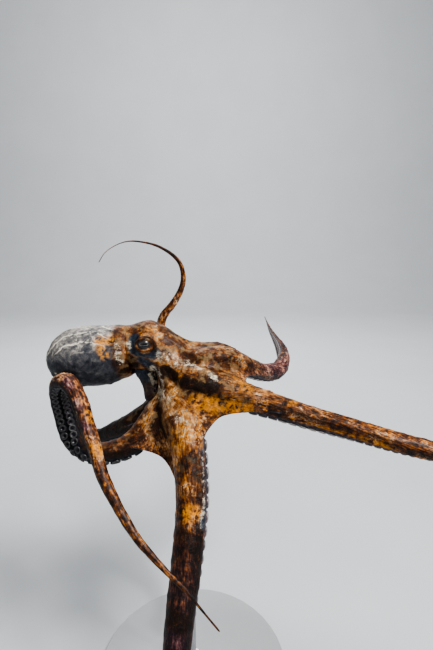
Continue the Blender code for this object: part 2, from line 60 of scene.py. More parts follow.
Array = np.ndarray
Triple = tuple[float, float, float]
Colour = Triple
Table = tuple[tuple[float, ...], ...]
Mesh, Object, Material = bpy.types.Mesh, bpy.types.Object, bpy.types.Material
MM = 0.001
CROWN_PLACE = np.array([-10.0, -2.0, 500.0])

UP, DOWN = np.array([0, 0, 1.0]), np.array([0, 0, -1.0])
RIGHT, LEFT = np.array([1.0, 0, 0]), np.array([-1.0, 0, 0])
AWAY, NEAR = np.array([0, 1.0, 0]), np.array([0, -1.0, 0])


# --- Small mathematics ---


def unit(v: Array) -> Array:
    """The same directions at length one; v is one vector or an array of them."""
    v = np.asarray(v, float)
    return v / np.maximum(np.linalg.norm(v, axis=-1, keepdims=True), 1e-12)


def mix(a: Any, b: Any, t: Any) -> Any:
    """The value a share t of the way from a to b."""
    return a + (b - a) * t


def ease(t: Any) -> Any:
    """0 to 1 with a gentle start and end, held outside."""
    t = np.clip(t, 0, 1)
    return t * t * (3 - 2 * t)


def smooth_curve(points: Sequence[Array], per_span: int = 20) -> Array:
    """A centripetal Catmull-Rom curve through the points, as a close-set polyline.

    Args:
        points: the points the curve passes through, of any dimension.
        per_span: how many steps each span is cut into.

    Returns:
        One row for each point of the polyline.
    """
    p = np.array(points, float)
    p = np.vstack([2 * p[0] - p[1], p, 2 * p[-1] - p[-2]])
    knots = np.concatenate([[0], np.cumsum(np.sqrt(np.linalg.norm(np.diff(p, axis=0), axis=1)))])
    made = []
    for i in range(1, len(p) - 2):
        k0, k1, k2, k3 = knots[i - 1 : i + 3]
        t = np.linspace(k1, k2, per_span, endpoint=False)[:, None]
        a1 = mix(p[i - 1], p[i], (t - k0) / (k1 - k0))
        a2 = mix(p[i], p[i + 1], (t - k1) / (k2 - k1))
        a3 = mix(p[i + 1], p[i + 2], (t - k2) / (k3 - k2))
        b1 = mix(a1, a2, (t - k0) / (k2 - k0))
        b2 = mix(a2, a3, (t - k1) / (k3 - k1))
        made.append(mix(b1, b2, (t - k1) / (k2 - k1)))
    made.append(p[-2:-1])
    return np.vstack(made)


def between(at: Any, knots: Array, rows: Array) -> Array:
    """The rows of a table that is given at some knots, at one or several places between them."""
    return np.stack([np.interp(at, knots, column) for column in rows.T], axis=-1)


class Line:
    """A smooth curve that can be asked for its point and direction at any distance along it."""

    def __init__(self, points: Sequence[Array]) -> None:
        """Runs the curve through the points.

        Args:
            points: what it passes through.
        """
        self.points = smooth_curve(points)
        self.along = run_along(self.points)
        self.length = float(self.along[-1])

    def point(self, s: Any) -> Array:
        """The point at a distance, or one row for each of several distances."""
        return between(s, self.along, self.points)

    def nearest(self, place: Array) -> float:
        """Distance along the curve to its point nearest to a place."""
        return float(self.along[np.argmin(apart(self.points, place))])

    def direction(self, s: Any, reach: float = 4.0) -> Array:
        """The way the curve runs at a distance, averaged over reach to both sides."""
        low, high = np.maximum(0, s - reach), np.minimum(self.length, s + reach)
        return unit(self.point(high) - self.point(low))


def soften(rows: Array, spread: float) -> Array:
    """Evens out each column of a table along its rows, over about spread rows to both sides.

    Args:
        rows: the table.
        spread: the reach of the evening, in rows.

    Returns:
        The new table.
    """
    reach = int(3 * spread)
    weights = np.exp(-0.5 * (np.arange(-reach, reach + 1) / spread) ** 2)
    padded = np.pad(rows, ((reach, reach), (0, 0)), mode="edge")
    columns = [np.convolve(column, weights / weights.sum(), mode="valid") for column in padded.T]
    return np.stack(columns, axis=1)


def run_along(points: Array) -> Array:
    """The distance of each point of a polyline from its start."""
    return np.concatenate([[0], np.cumsum(np.linalg.norm(np.diff(points, axis=0), axis=1))])


def apart(points: Array, place: Array) -> Array:
    """The distance of every point from a place."""
    return np.linalg.norm(points - place, axis=1)


def placed(points: Array) -> Array:
    """Points of the animal as places in the scene, in metres."""
    return (points + CROWN_PLACE) * MM


# --- Arms ---

SPINE = Line([(-44, 4, 41), (-75, 4, 36), (-133, 4, 27), (-184, 4, 24)])
AXIS = unit(np.array([-44, 4, 41.0]))  # from the crown towards the head
NEAR_SIDE = unit(NEAR - AXIS * (NEAR @ AXIS))
BACK_SIDE = unit(np.cross(NEAR_SIDE, -AXIS))


@dataclass(frozen=True)
class ArmPlan:
    """How one arm lies.

    Args:
        name: the arm's name, as in the frame's nodes.
        lean: how far it leans out of the crown at its start, 0 to 1.
        width: its width at the base.
        taper: how fast it narrows.
        route: the points its middle passes through.
        faces: which way its back faces at some shares of its length.
        tones: at some shares of its length, how bright it is (-1 to 1) and how rosy (0 to 1); the
            darkness of left_4 is painted shade.
        shade: how dark its sucker side is painted as shade, 0 to 1.
    """

    name: str
    lean: float
    width: float
    taper: float
    route: Table
    faces: tuple[tuple[float, Array], ...]
    tones: Table
    shade: float = 0.2


ARM_PLANS = (
    ArmPlan(
        "right_1", 0.65, 38, 1.05,
        ((61, -8, 27), (90, 16, 8), (117, 44, -9), (143, 74, -15), (157, 108, -9),
         (160, 160, -3), (161, 235, -5), (160, 310, -4), (160, 375, 0), (160, 420, 3)),
        ((0.10, UP + 0.3 * NEAR), (0.22, UP), (0.31, UP + RIGHT), (0.42, RIGHT + 0.3 * DOWN),
         (1.0, RIGHT)),
        ((0.0, 0.1, 0.0), (0.14, -0.1, 0.1), (0.24, 0.0, 0.8), (0.6, -0.1, 0.9), (1.0, -0.1, 0.5)),
    ),
    ArmPlan(
        "right_2", 0.7, 41, 0.95,
        ((42, -50, 5), (68, -61, -2), (97, -71, -8), (147, -92, -17), (200, -113, -25),
         (249, -132, -32), (300, -146, -40), (360, -152, -54), (425, -147, -66),
         (485, -133, -64), (532, -113, -46), (556, -96, -18)),
        ((0.08, UP + 0.8 * NEAR), (0.16, UP + 0.1 * NEAR), (0.24, UP + 0.35 * AWAY),
         (0.36, UP + 0.25 * AWAY), (0.5, 2 * UP + NEAR), (0.8, UP + NEAR), (1.0, NEAR)),
        ((0.0, -0.15, 0.0), (0.15, -0.2, 0.0), (0.4, 0.05, 0.0), (0.55, -0.25, 0.15),
         (1.0, -0.1, 0.1)),
    ),
    ArmPlan(
        "right_3", 0.75, 50, 0.95,
        ((6, -62, -30), (14, -88, -57), (19, -114, -86), (20, -137, -116), (17, -160, -144),
         (13, -185, -174), (9, -213, -206), (7, -243, -252), (8, -262, -310), (8, -268, -368),
         (2, -252, -420), (-12, -214, -446), (-30, -176, -440), (-42, -158, -414)),
        ((0.08, NEAR + 0.4 * UP + 0.4 * LEFT), (0.14, NEAR + 1.3 * LEFT),
         (0.24, NEAR + 1.5 * LEFT), (0.34, NEAR + 0.7 * LEFT), (0.6, NEAR + 0.6 * LEFT),
         (0.8, NEAR + 0.3 * DOWN), (1.0, DOWN)),
        ((0.0, 0.2, 0.0), (0.12, 0.35, 0.0), (0.19, 0.1, 0.0), (0.26, -0.1, 0.05),
         (0.31, -0.6, 0.2), (0.45, -0.75, 0.4), (1.0, -0.7, 0.3)),
    ),
    ArmPlan(
        "right_4", 0.9, 39, 0.9,
        ((-38, -31, -55), (-60, -42, -77), (-91, -46, -91), (-120, -42, -92), (-146, -30, -77),
         (-158, -24, -45), (-158, -36, -12), (-148, -54, 10), (-133, -70, 16), (-119, -86, 8),
         (-109, -99, -5), (-91, -125, -33), (-72, -153, -64), (-35, -186, -106),
         (-5, -206, -127), (20, -219, -143), (36, -228, -157), (51, -236, -170)),
        ((0.08, UP + 0.4 * NEAR + 0.4 * LEFT), (0.16, UP + 0.35 * AWAY),
         (0.24, 0.5 * UP + AWAY + 0.3 * LEFT), (0.30, AWAY + 0.35 * LEFT),
         (0.38, AWAY + 0.45 * LEFT), (0.44, UP + 0.9 * AWAY + 0.3 * LEFT),
         (0.475, UP + 0.3 * NEAR + 0.3 * RIGHT), (0.53, RIGHT + 0.6 * NEAR + 0.4 * UP),
         (0.65, NEAR + 0.5 * UP + 0.7 * RIGHT), (1.0, NEAR + 0.7 * UP + 0.3 * RIGHT)),
        ((0.0, 0.0, 0.0), (0.16, -0.2, 0.1), (0.3, -0.4, 0.1), (0.40, 0.1, 0.3), (0.55, 0.0, 0.2),
         (0.75, -0.2, 0.0), (1.0, -0.4, 0.0)),
        # right_4's sucker side, inside its loop, is painted near black as shade
        1.0,
    ),
    ArmPlan(
        "left_4", 0.9, 36, 0.95,
        ((-45, 16, -56), (-74, 20, -77), (-105, 36, -98), (-138, 60, -120), (-172, 92, -128),
         (-205, 140, -118), (-226, 190, -95), (-228, 236, -70), (-206, 262, -52),
         (-176, 262, -52), (-160, 244, -70), (-170, 224, -88)),
        ((0.08, UP + 0.6 * LEFT), (0.3, UP), (0.5, UP + LEFT), (0.68, LEFT + 0.3 * AWAY),
         (0.8, AWAY + UP), (0.9, RIGHT + UP), (1.0, RIGHT + DOWN)),
        # left_4 is toned dark as painted shade, the shadow of the mantle and the head
        ((0.0, -0.5, 0.0), (0.3, -1.0, 0.0), (1.0, -0.7, 0.0)),
        # left_4's sucker side is painted dark as shade
        0.8,
    ),
    ArmPlan(
        "left_3", 0.8, 40, 0.95,
        ((0, 60, -50), (5, 82, -115), (5, 98, -186), (2, 106, -258), (-4, 104, -325),
         (-10, 86, -378), (-16, 56, -400), (-20, 28, -390), (-21, 14, -364), (-18, 24, -342),
         (-14, 42, -344)),
        ((0.08, AWAY + 0.5 * LEFT), (0.35, AWAY + 0.5 * LEFT), (0.6, AWAY + 0.3 * DOWN),
         (0.75, DOWN), (0.87, NEAR), (1.0, UP)),
        ((0.0, -0.3, 0.0), (1.0, -0.6, 0.2)),
    ),
    ArmPlan(
        "left_2", 0.97, 36, 1.2,
        ((14, 70, 4), (6, 112, -8), (-12, 170, -20), (-30, 218, -26), (-50, 250, -16),
         (-62, 264, 6), (-57, 262, 33), (-40, 257, 55), (-26, 256, 76), (-17, 256, 98),
         (-16, 255, 119), (-21, 254, 137), (-32, 252, 151), (-50, 250, 164), (-70, 247, 173),
         (-92, 242, 178), (-113, 237, 179), (-133, 231, 173), (-154, 223, 159),
         (-165, 219, 142)),
        ((0.08, UP + 0.8 * LEFT), (0.2, UP + 0.4 * LEFT), (0.38, UP), (0.5, RIGHT + NEAR),
         (0.6, RIGHT + 0.5 * NEAR), (0.74, UP + RIGHT), (0.88, UP + 0.2 * LEFT),
         (1.0, UP + LEFT)),
        ((0.0, 0.0, 0.0), (0.5, 0.15, 0.1), (0.8, -0.3, 0.0), (1.0, 0.0, 0.0)),
    ),
    ArmPlan(
        "left_1", 0.65, 38, 0.95,
        ((54, 33, 21), (69, 64, 3), (79, 102, -19), (88, 160, -54), (92, 234, -98),
         (90, 306, -142), (80, 379, -178), (62, 440, -196), (44, 486, -188)),
        ((0.08, UP + 0.3 * AWAY), (0.4, UP + 0.5 * RIGHT), (1.0, UP + RIGHT)),
        ((0.0, 0.0, 0.0), (1.0, -0.2, 0.1)),
    ),
)


@dataclass(frozen=True)
class Build:
    """The sizes that every arm and web shares, in millimetres or as shares."""

    ring_radius: float = 36.0
    ring_rise: float = 6.0
    crown_length: float = 20.0
    arm_spacing: float = 45.0
    station: float = 19.5
    roundness: float = 0.95
    sucker_side: float = 0.72
    tip_half_width: float = 0.9
    neighbour_margin: float = 2.5
    web_half: float = 1.5
    web_root_extra: float = 3.5
    web_root_reach: float = 45.0
    web_sag: float = 3.0
    web_share: float = 0.3  # the web's greatest half thickness, over the arm's half width
    web_top: float = 0.62
    rise_spare: float = 2.0
    web_height: float = 0.45
    web_height_reach: float = 150.0
    mouth_radius: float = 13.0
    lead: float = 8.0  # the straight start of a route, to both sides of the ring
    turn_spread: float = 4.0
    face_spread: float = 10.0
    crowd_sharpness: float = 0.5
    crowd_reach: float = 40.0
    back_fullness: float = 0.9
    side_fullness: float = 0.72
    sole_fullness: float = 0.6
    keel: float = 0.16
    keel_width: float = 0.22
    web_scale: float = 580.0  # an arm's usual length, for the web's share of it


BUILD = Build()
WEB_REACHES = ((6, 4), (6, 4), (8, 3), (3, 3), (4, 7), (4, 7), (4, 6), (3, 3))
WEB_DIPS = (0.42, 0.42, 0.34, 0.42, 0.42, 0.42, 0.42, 0.42)
# the webs either side of left_4 are toned darker with it, as painted shade
WEB_TONES = (0.0, -0.25, -0.05, -0.5, -0.4, -0.1, 0.0, 0.0)


class Arm:
    """One arm: its route from the ring of the crown, and its cross-section at any distance."""

    def __init__(self, plan: ArmPlan, order: int) -> None:
        """Lays the route out of the crown at the arm's place in the ring.

        Args:
            plan: how the arm lies.
            order: its place in the ring, from 0.
        """
        turn = math.radians(BUILD.arm_spacing * (order + 0.5))
        self.plan = plan
        self.out = math.cos(turn) * BACK_SIDE + math.sin(turn) * NEAR_SIDE
        rise = BUILD.ring_rise * max(0.0, math.cos(turn))
        start = (BUILD.ring_radius + rise) * self.out
        way = unit(plan.lean * self.out - math.sqrt(1 - plan.lean**2) * AXIS)
        route = [np.array(p, float) for p in plan.route]
        self.line = Line([start - BUILD.lead * way, start, start + BUILD.lead * way, *route])
        self.offset = self.line.nearest(start)
        self.length = self.line.length - self.offset
        self.knots = np.append(np.arange(0.0, self.length, 1.0), self.length)
        self.rooms: tuple[Array, Array] = (self.knots, self.knots)
        self.alongs = soften(self.line.direction(self.offset + self.knots), BUILD.turn_spread)
        shares = [0.0] + [share for share, _ in plan.faces]
        first = unit(0.8 * self.out + 0.6 * AXIS)
        ways = np.array([first] + [unit(way) for _, way in plan.faces])
        self.ways = soften(between(self.knots / self.length, shares, ways), BUILD.face_spread)

    def tone(self, s: float) -> tuple[float, float]:
        """How bright and how rosy the arm is at a distance."""
        shares, *columns = zip(*self.plan.tones)
        return tuple(float(np.interp(s / self.length, shares, column)) for column in columns)

    def half_width(self, s: Any) -> Any:
        """Half the arm's own width at a distance."""
        left = np.maximum(0.0, 1 - np.asarray(s) / self.length)
        return np.maximum(BUILD.tip_half_width, self.plan.width / 2 * left**self.plan.taper)

    def meet(self, before: "Arm", after: "Arm") -> None:
        """Works out how wide the arm may be to each side, at every millimetre of its length."""
        places = self.line.point(self.offset + self.knots)
        self.rooms = tuple(self._room(places, arm) for arm in (before, after))

    def _room(self, places: Array, neighbour: "Arm") -> Array:
        """Half width towards a neighbour, which is less where the two arms crowd together.

        Args:
            places: the arm's middle at every knot.
            neighbour: the arm beside it.

        Returns:
            The half width at every knot.
        """
        wide = self.half_width(self.knots)
        sharp = BUILD.crowd_sharpness
        free = np.empty(len(places))
        for i, (s, place) in enumerate(zip(self.knots, places)):
            reach = neighbour.offset + s + BUILD.crowd_reach
            near = neighbour.line.points[neighbour.line.along < reach]
            gap = apart(near, place).min()
            free[i] = gap / 2 - BUILD.neighbour_margin
        return -np.log(np.exp(-wide * sharp) + np.exp(-free * sharp)) / sharp

    def frame(self, s: Any) -> tuple[Array, ...]:
        """The arm's own axes at one or several distances.

        Args:
            s: the distance from the crown's ring.

        Returns:
            The point, the direction, the back and the side (towards the next arm).
        """
        s = np.asarray(s, float)
        along = unit(between(s, self.knots, self.alongs))
        way = between(s, self.knots, self.ways)
        back = unit(way - along * np.sum(way * along, axis=-1, keepdims=True))
        return self.line.point(self.offset + s), along, back, np.cross(along, back)

    def seam(self, s: Any) -> tuple[Any, Any]:
        """Height of the web's join on the arm's side, and half its thickness there.

        Args:
            s: the distance.

        Returns:
            Both, in millimetres.
        """
        wide = self.half_width(s)
        root = 1 - ease(np.asarray(s) / BUILD.web_root_reach)
        half = BUILD.web_half + BUILD.web_root_extra * root
        height = BUILD.web_height * wide * (1 - ease(np.asarray(s) / BUILD.web_height_reach))
        return height, np.minimum(half, BUILD.web_share * wide)

    def sizes(self, s: Any) -> tuple[Any, ...]:
        """How the arm's section measures at a distance.

        Args:
            s: the distance.

        Returns:
            Half width, room before and after, height of the back, top and foot of the seam.
        """
        before, after = (np.interp(s, self.knots, room) for room in self.rooms)
        wide = self.half_width(s)
        rise = BUILD.roundness * np.minimum(wide, (before + after) / 2 + BUILD.rise_spare)
        height, half = self.seam(s)
        top = np.minimum(height + half, BUILD.web_top * rise)
        return wide, before, after, rise, top, height - half

    def edge(self, s: Any, towards: int) -> Array:
        """Middle of the web's join on one side.

        Args:
            s: the distance.
            towards: -1 for the last arm's side, 1 for the next arm's.

        Returns:
            The point, or one row for each of several distances.
        """
        place, _, back, side = self.frame(s)
        _, before, after, _, top, low = self.sizes(s)
        across = np.asarray(after if towards > 0 else -before)[..., None]
        return place + across * side + np.asarray((top + low) / 2)[..., None] * back


# --- Node graphs ---


def sign(operation: str, swapped: bool = False) -> Callable[["Signal", Any], "Signal"]:
    """The method behind an arithmetic sign.

    Args:
        operation: the Math node's operation.
        swapped: whether the signal stands on the sign's right.

    Returns:
        The method, which adds a Math node on two values.
    """

    def work(signal: "Signal", other: Any) -> "Signal":
        """Adds the node on this signal and the other value."""
        first, second = (other, signal) if swapped else (signal, other)
        return signal.graph.node("ShaderNodeMath", {"operation": operation}, {0: first, 1: second})

    return work


class Signal:
    """A value, colour or vector in a node tree, for use in plain arithmetic."""

    def __init__(self, graph: "Graph", socket: bpy.types.NodeSocket) -> None:
        """Wraps one output of a node."""
        self.graph = graph
        self.socket = socket

    __add__ = __radd__ = sign("ADD")
    __sub__ = sign("SUBTRACT")
    __rsub__ = sign("SUBTRACT", swapped=True)
    __mul__ = __rmul__ = sign("MULTIPLY")
    at_least = sign("MAXIMUM")
    above = sign("GREATER_THAN")

    def ease(self, low: float, high: float) -> "Signal":
        """0 at low and 1 at high with a gentle start and end; low may be the greater."""
        inputs = {"Value": self, "From Min": low, "From Max": high}
        return self.graph.node("ShaderNodeMapRange", {"interpolation_type": "SMOOTHSTEP"}, inputs)

    def wave(self, kind: str) -> "Signal":
        """The SINE, COSINE or ABSOLUTE of this value."""
        return self.graph.node("ShaderNodeMath", {"operation": kind}, {0: self})


class Graph:
    """Adds nodes to one tree, for a material or for Geometry Nodes."""

    def __init__(self, tree: bpy.types.NodeTree) -> None:
        """Starts on an empty tree."""
        self.tree = tree
        tree.nodes.clear()

    def node(
        self,
        kind: str,
        settings: dict[str, Any] | None = None,
        inputs: dict[Any, Any] | None = None,
        output: int | str = 0,
    ) -> Signal:
        """Adds any node.

        Args:
            kind: the node's type.
            settings: its properties, set first. stops are a ramp's, curve is a Float Curve's.
            inputs: a value or a signal for each socket, by its name or number.
            output: the output that is wanted.

        Returns:
            That output.
        """
        made = self.tree.nodes.new(kind)
        for name, value in (settings or {}).items():
            if name == "stops":
                ramp = made.color_ramp.elements
                while len(ramp) < len(value):
                    ramp.new(1.0)
                for element, (at, *colour) in zip(ramp, value):
                    element.position = at
                    element.color = (*colour, 1)
            elif name == "curve":
                points = made.mapping.curves[0].points
                while len(points) < len(value):
                    points.new(0.5, 0.5)
                for point, place in zip(points, value):
                    point.location = place
                made.mapping.update()
            else:
                setattr(made, name, value)
        for key, value in (inputs or {}).items():
            socket = made.inputs[key]
            if isinstance(value, Signal):
                self.tree.links.new(value.socket, socket)
            elif socket.type == "RGBA" and len(value) == 3:
                socket.default_value = (*value, 1)
            else:
                socket.default_value = value
        return Signal(self, made.outputs[output] if made.outputs else None)

    def also(self, signal: Signal, output: int | str) -> Signal:
        """Another output of the node that a signal comes from."""
        return Signal(self, signal.socket.node.outputs[output])


class Shader(Graph):
    """A material's node tree."""

    def __init__(self, name: str) -> None:
        """Starts a new material.

        Args:
            name: its name.
        """
        self.material = bpy.data.materials.new(name)
        self.material.use_nodes = True
        super().__init__(self.material.node_tree)
        self.place = self.node("ShaderNodeTexCoord", output="Object")

    def mark(self, mark: "Mark | str") -> Signal:
        """A mark that the mesh carries at each point."""
        name = mark.value if isinstance(mark, Enum) else mark
        return self.node("ShaderNodeAttribute", {"attribute_name": name}, output="Fac")

    def noise(self, place: Signal, scale: float, detail: float = 3.0,
              rough: float = 0.55) -> Signal:
        """Soft noise from 0 to 1; scale is in features per metre."""
        inputs = {"Vector": place, "Scale": scale, "Detail": detail, "Roughness": rough}
        return self.node("ShaderNodeTexNoise", None, inputs)

    def warp(self, place: Signal, scale: float, reach: float) -> Signal:
        """The place pushed about by up to half of reach, in swirls."""
        inputs = {0: self.also(self.noise(place, scale, 2.0), "Color"), 1: (reach,) * 3, 2: place}
        return self.node("ShaderNodeVectorMath", {"operation": "MULTIPLY_ADD"}, inputs)

    def cells(self, place: Signal, scale: float, feature: str = "F1") -> Signal:
        """Distance in a cell pattern: F1 from its middle, DISTANCE_TO_EDGE from its border."""
        settings = {"feature": feature}
        return self.node("ShaderNodeTexVoronoi", settings, {"Vector": place, "Scale": scale})

    def ramp(self, value: Signal, *stops: tuple[float, ...]) -> Signal:
        """Colours along a value; each stop is its place, then its red, green and blue."""
        return self.node("ShaderNodeValToRGB", {"stops": stops}, {0: value}, "Color")

    def blend(self, a: Any, b: Any, share: Any) -> Signal:
        """Colour a with a share of colour b over it."""
        return self.node("ShaderNodeMix", {"data_type": "RGBA"}, {0: share, 6: a, 7: b}, 2)

    def bump(self, height: Signal, depth: float, strength: float, **under: Signal) -> Signal:
        """A bump of some metres' depth, on top of another that is given as Normal."""
        inputs = {"Height": height, "Distance": depth, "Strength": strength, **under}
        return self.node("ShaderNodeBump", None, inputs)

    def finish(self, **inputs: Any) -> Material:
        """Adds the surface.

        Args:
            inputs: the surface's inputs by name, with _ for a space.

        Returns:
            The material.
        """
        named = {name.replace("_", " "): value for name, value in inputs.items()}
        surface = self.node("ShaderNodeBsdfPrincipled", None, named)
        self.node("ShaderNodeOutputMaterial", None, {"Surface": surface})
        return self.material


# --- Meshes ---


def new_object(name: str, mesh: Mesh, material: Material) -> Object:
    """Puts a mesh in the scene with one material, smooth.

    Args:
        name: the object's name.
        mesh: its mesh.
        material: its material, unless the mesh brings one.

    Returns:
        The object.
    """
    if not mesh.materials:
        mesh.materials.append(material)
    mesh.shade_smooth()
    made = bpy.data.objects.new(name, mesh)
    bpy.context.scene.collection.objects.link(made)
    return made


def set_mark(mesh: Mesh, name: str, values: Array) -> None:
    """Stores one number, or one vector, for each point of a mesh.

    Args:
        mesh: the mesh.
        name: the layer's name.
        values: one value or one row for each point.
    """
    kind, field_name = ("FLOAT", "value") if values.ndim == 1 else ("FLOAT_VECTOR", "vector")
    layer = mesh.attributes.new(name, kind, "POINT")
    layer.data.foreach_set(field_name, values.astype(np.float32).ravel())


def read(rows: Any, name: str, width: int = 1) -> Array:
    """Reads a property of every point.

    Args:
        rows: a mesh's points, or the data of one of its layers.
        name: the property.
        width: how many numbers it has.

    Returns:
        One number or one row for each point.
    """
    values = np.empty(len(rows) * width)
    rows.foreach_get(name, values)
    return values.reshape(-1, width) if width > 1 else values


def outwards(mesh: Mesh) -> None:
    """Turns every face of a closed mesh outwards.

    Args:
        mesh: the mesh.
    """
    bm = bmesh.new()
    bm.from_mesh(mesh)
    bmesh.ops.recalc_face_normals(bm, faces=bm.faces)
    bm.to_mesh(mesh)
    bm.free()


# --- Weaving the skin ---


class Mark(Enum):
    """What the skin carries at every point, for its colours."""

    ORAL = "oral"  # 1 on the sucker side
    SHARE = "share"  # distance along an arm over its length
    BODY = "body"  # 1 on the mantle and head
    WEB = "web"  # 1 on the web
    SPINE = "spine"  # distance behind the head's centre, over 100 mm
    BELLY = "belly"  # 0 on the back of the mantle, 1 below
    CREASE = "crease"  # 1 in the fold along an arm's side, which the finish paints darker as shade
    ARM = "arm"  # the arm's place in the ring, 1 to 8, or 0
    RUN = "run"  # millimetres outward from the crown
    ROUND = "round"  # millimetres across an arm or a web
    TONE = "tone"  # how much brighter or darker than usual, -1 to 1; the darkness of left_4 and its webs is painted shade, and the brightness over the eye's lids partly a painted highlight
    # dark markings; on the sucker side, the funnel, beside the eyes and in one fold it is painted
    # shade
    DARK = "dark"
    PALE = "pale"
    # gold, partly painted highlights
    GOLD = "gold"
    ROSE = "rose"
    # slate grey; round the eye, down the neck and on the funnel it is painted shade
    SLATE = "slate"


class Weave:
    """Collects the points, faces and marks of one mesh."""

    def __init__(self) -> None:
        """Starts empty."""
        self.points: list[Array] = []
        self.marks: dict[Mark, list[Array]] = {mark: [] for mark in Mark}
        self.faces: list[tuple[int, ...]] = []
        self.count = 0

    def add(self, points: Array, marks: dict[Mark, Any] | None = None) -> Array:
        """Adds points and says what they carry.

        Args:
            points: one row for each point.
            marks: one value, or one for each point, for some marks. The rest are 0.

        Returns:
            The points' numbers in the mesh.
        """
        points = np.atleast_2d(points)
        count = len(points)
        self.points.append(points)
        for mark, values in self.marks.items():
            value = (marks or {}).get(mark, 0.0)
            values.append(np.broadcast_to(np.asarray(value, float), count))
        self.count += count
        return np.arange(self.count - count, self.count)

    def strip(self, low: Array, high: Array, closed: bool = False) -> None:
        """Faces between two rows of equal count, which are loops where they are closed."""
        low, high = (np.append(row, row[:1]) if closed else row for row in (low, high))
        self.faces += zip(low, low[1:], high[1:], high)

    def grow(self, before: Array | None, points: Array, marks: dict[Mark, Any]) -> Array:
        """Adds a closed loop and joins it to the one before it.

        Args:
            before: the last loop, if there is one.
            points: one row for each point of the new loop.
            marks: what they carry.

        Returns:
            The new loop.
        """
        loop = self.add(points, marks)
        if before is not None:
            self.strip(before, loop, closed=True)
        return loop

    def lace(self, a: Array, b: Array) -> None:
        """Triangles between two evenly spaced rows of unlike count.

        Args:
            a: the numbers of the points in one row.
            b: and in the other.
        """
        at_a, at_b = np.linspace(0, 1, len(a)), np.linspace(0, 1, len(b))
        i = j = 0
        while i < len(a) - 1 or j < len(b) - 1:
            last_a, last_b = i == len(a) - 1, j == len(b) - 1
            if last_b or (not last_a and at_a[i] + at_a[i + 1] <= at_b[j] + at_b[j + 1]):
                self.faces.append((a[i], a[i + 1], b[j]))
                i += 1
            else:
                self.faces.append((a[i], b[j + 1], b[j]))
                j += 1

    def fan(self, row: Array, centre: int) -> None:
        """Closes a loop with triangles to its centre."""
        for j in range(len(row)):
            self.faces.append((row[j], row[(j + 1) % len(row)], centre))


def relax(points: Array, edges: Array, weight: Array, rounds: int) -> Array:
    """Moves each point towards the middle of its neighbours.

    Args:
        points: one row for each point.
        edges: pairs of joined points.
        weight: how far each point goes in one round, 0 to 1.
        rounds: how many times this is done.

    Returns:
        The new points.
    """
    a, b = edges.T
    ends, others = np.concatenate([a, b]), np.concatenate([b, a])
    count = np.maximum(np.bincount(ends, minlength=len(points)), 1)
    for _ in range(rounds):
        sums = [np.bincount(ends, column[others], minlength=len(points)) for column in points.T]
        middle = np.stack(sums, axis=1) / count[:, None]
        points = mix(points, middle, weight[:, None])
    return points


@dataclass(frozen=True)
class Stroke:
    """A patch of one mark along a line on the skin, on both sides of the body's middle.

    Args:
        mark: what it fills.
        radius: half its width.
        places: the points it runs through.
        strength: its mark at the middle.
    """

    mark: Mark
    radius: float
    places: Sequence[Triple]
    strength: float

    def cover(self, points: Array) -> Array:
        """How much of the mark each point gets.

        Args:
            points: one row for each point.

        Returns:
            One value for each, 0 to the stroke's strength.
        """
        cover = np.zeros(len(points))
        for mirror in (False, True):
            line = np.array(self.places, float)
            if mirror:
                line[:, 1] = 2 * SPINE.points[0][1] - line[:, 1]
            near = np.full(len(points), np.inf)
            if len(line) == 1:
                near = apart(points, line[0])
            for a, b in zip(line, line[1:]):
                share = np.clip((points - a) @ (b - a) / ((b - a) @ (b - a)), 0, 1)
                gap = points - a - share[:, None] * (b - a)
                near = np.minimum(near, np.linalg.norm(gap, axis=1))
            cover = np.maximum(cover, 1 - ease((near / self.radius - 0.45) / 0.9))
        return self.strength * cover


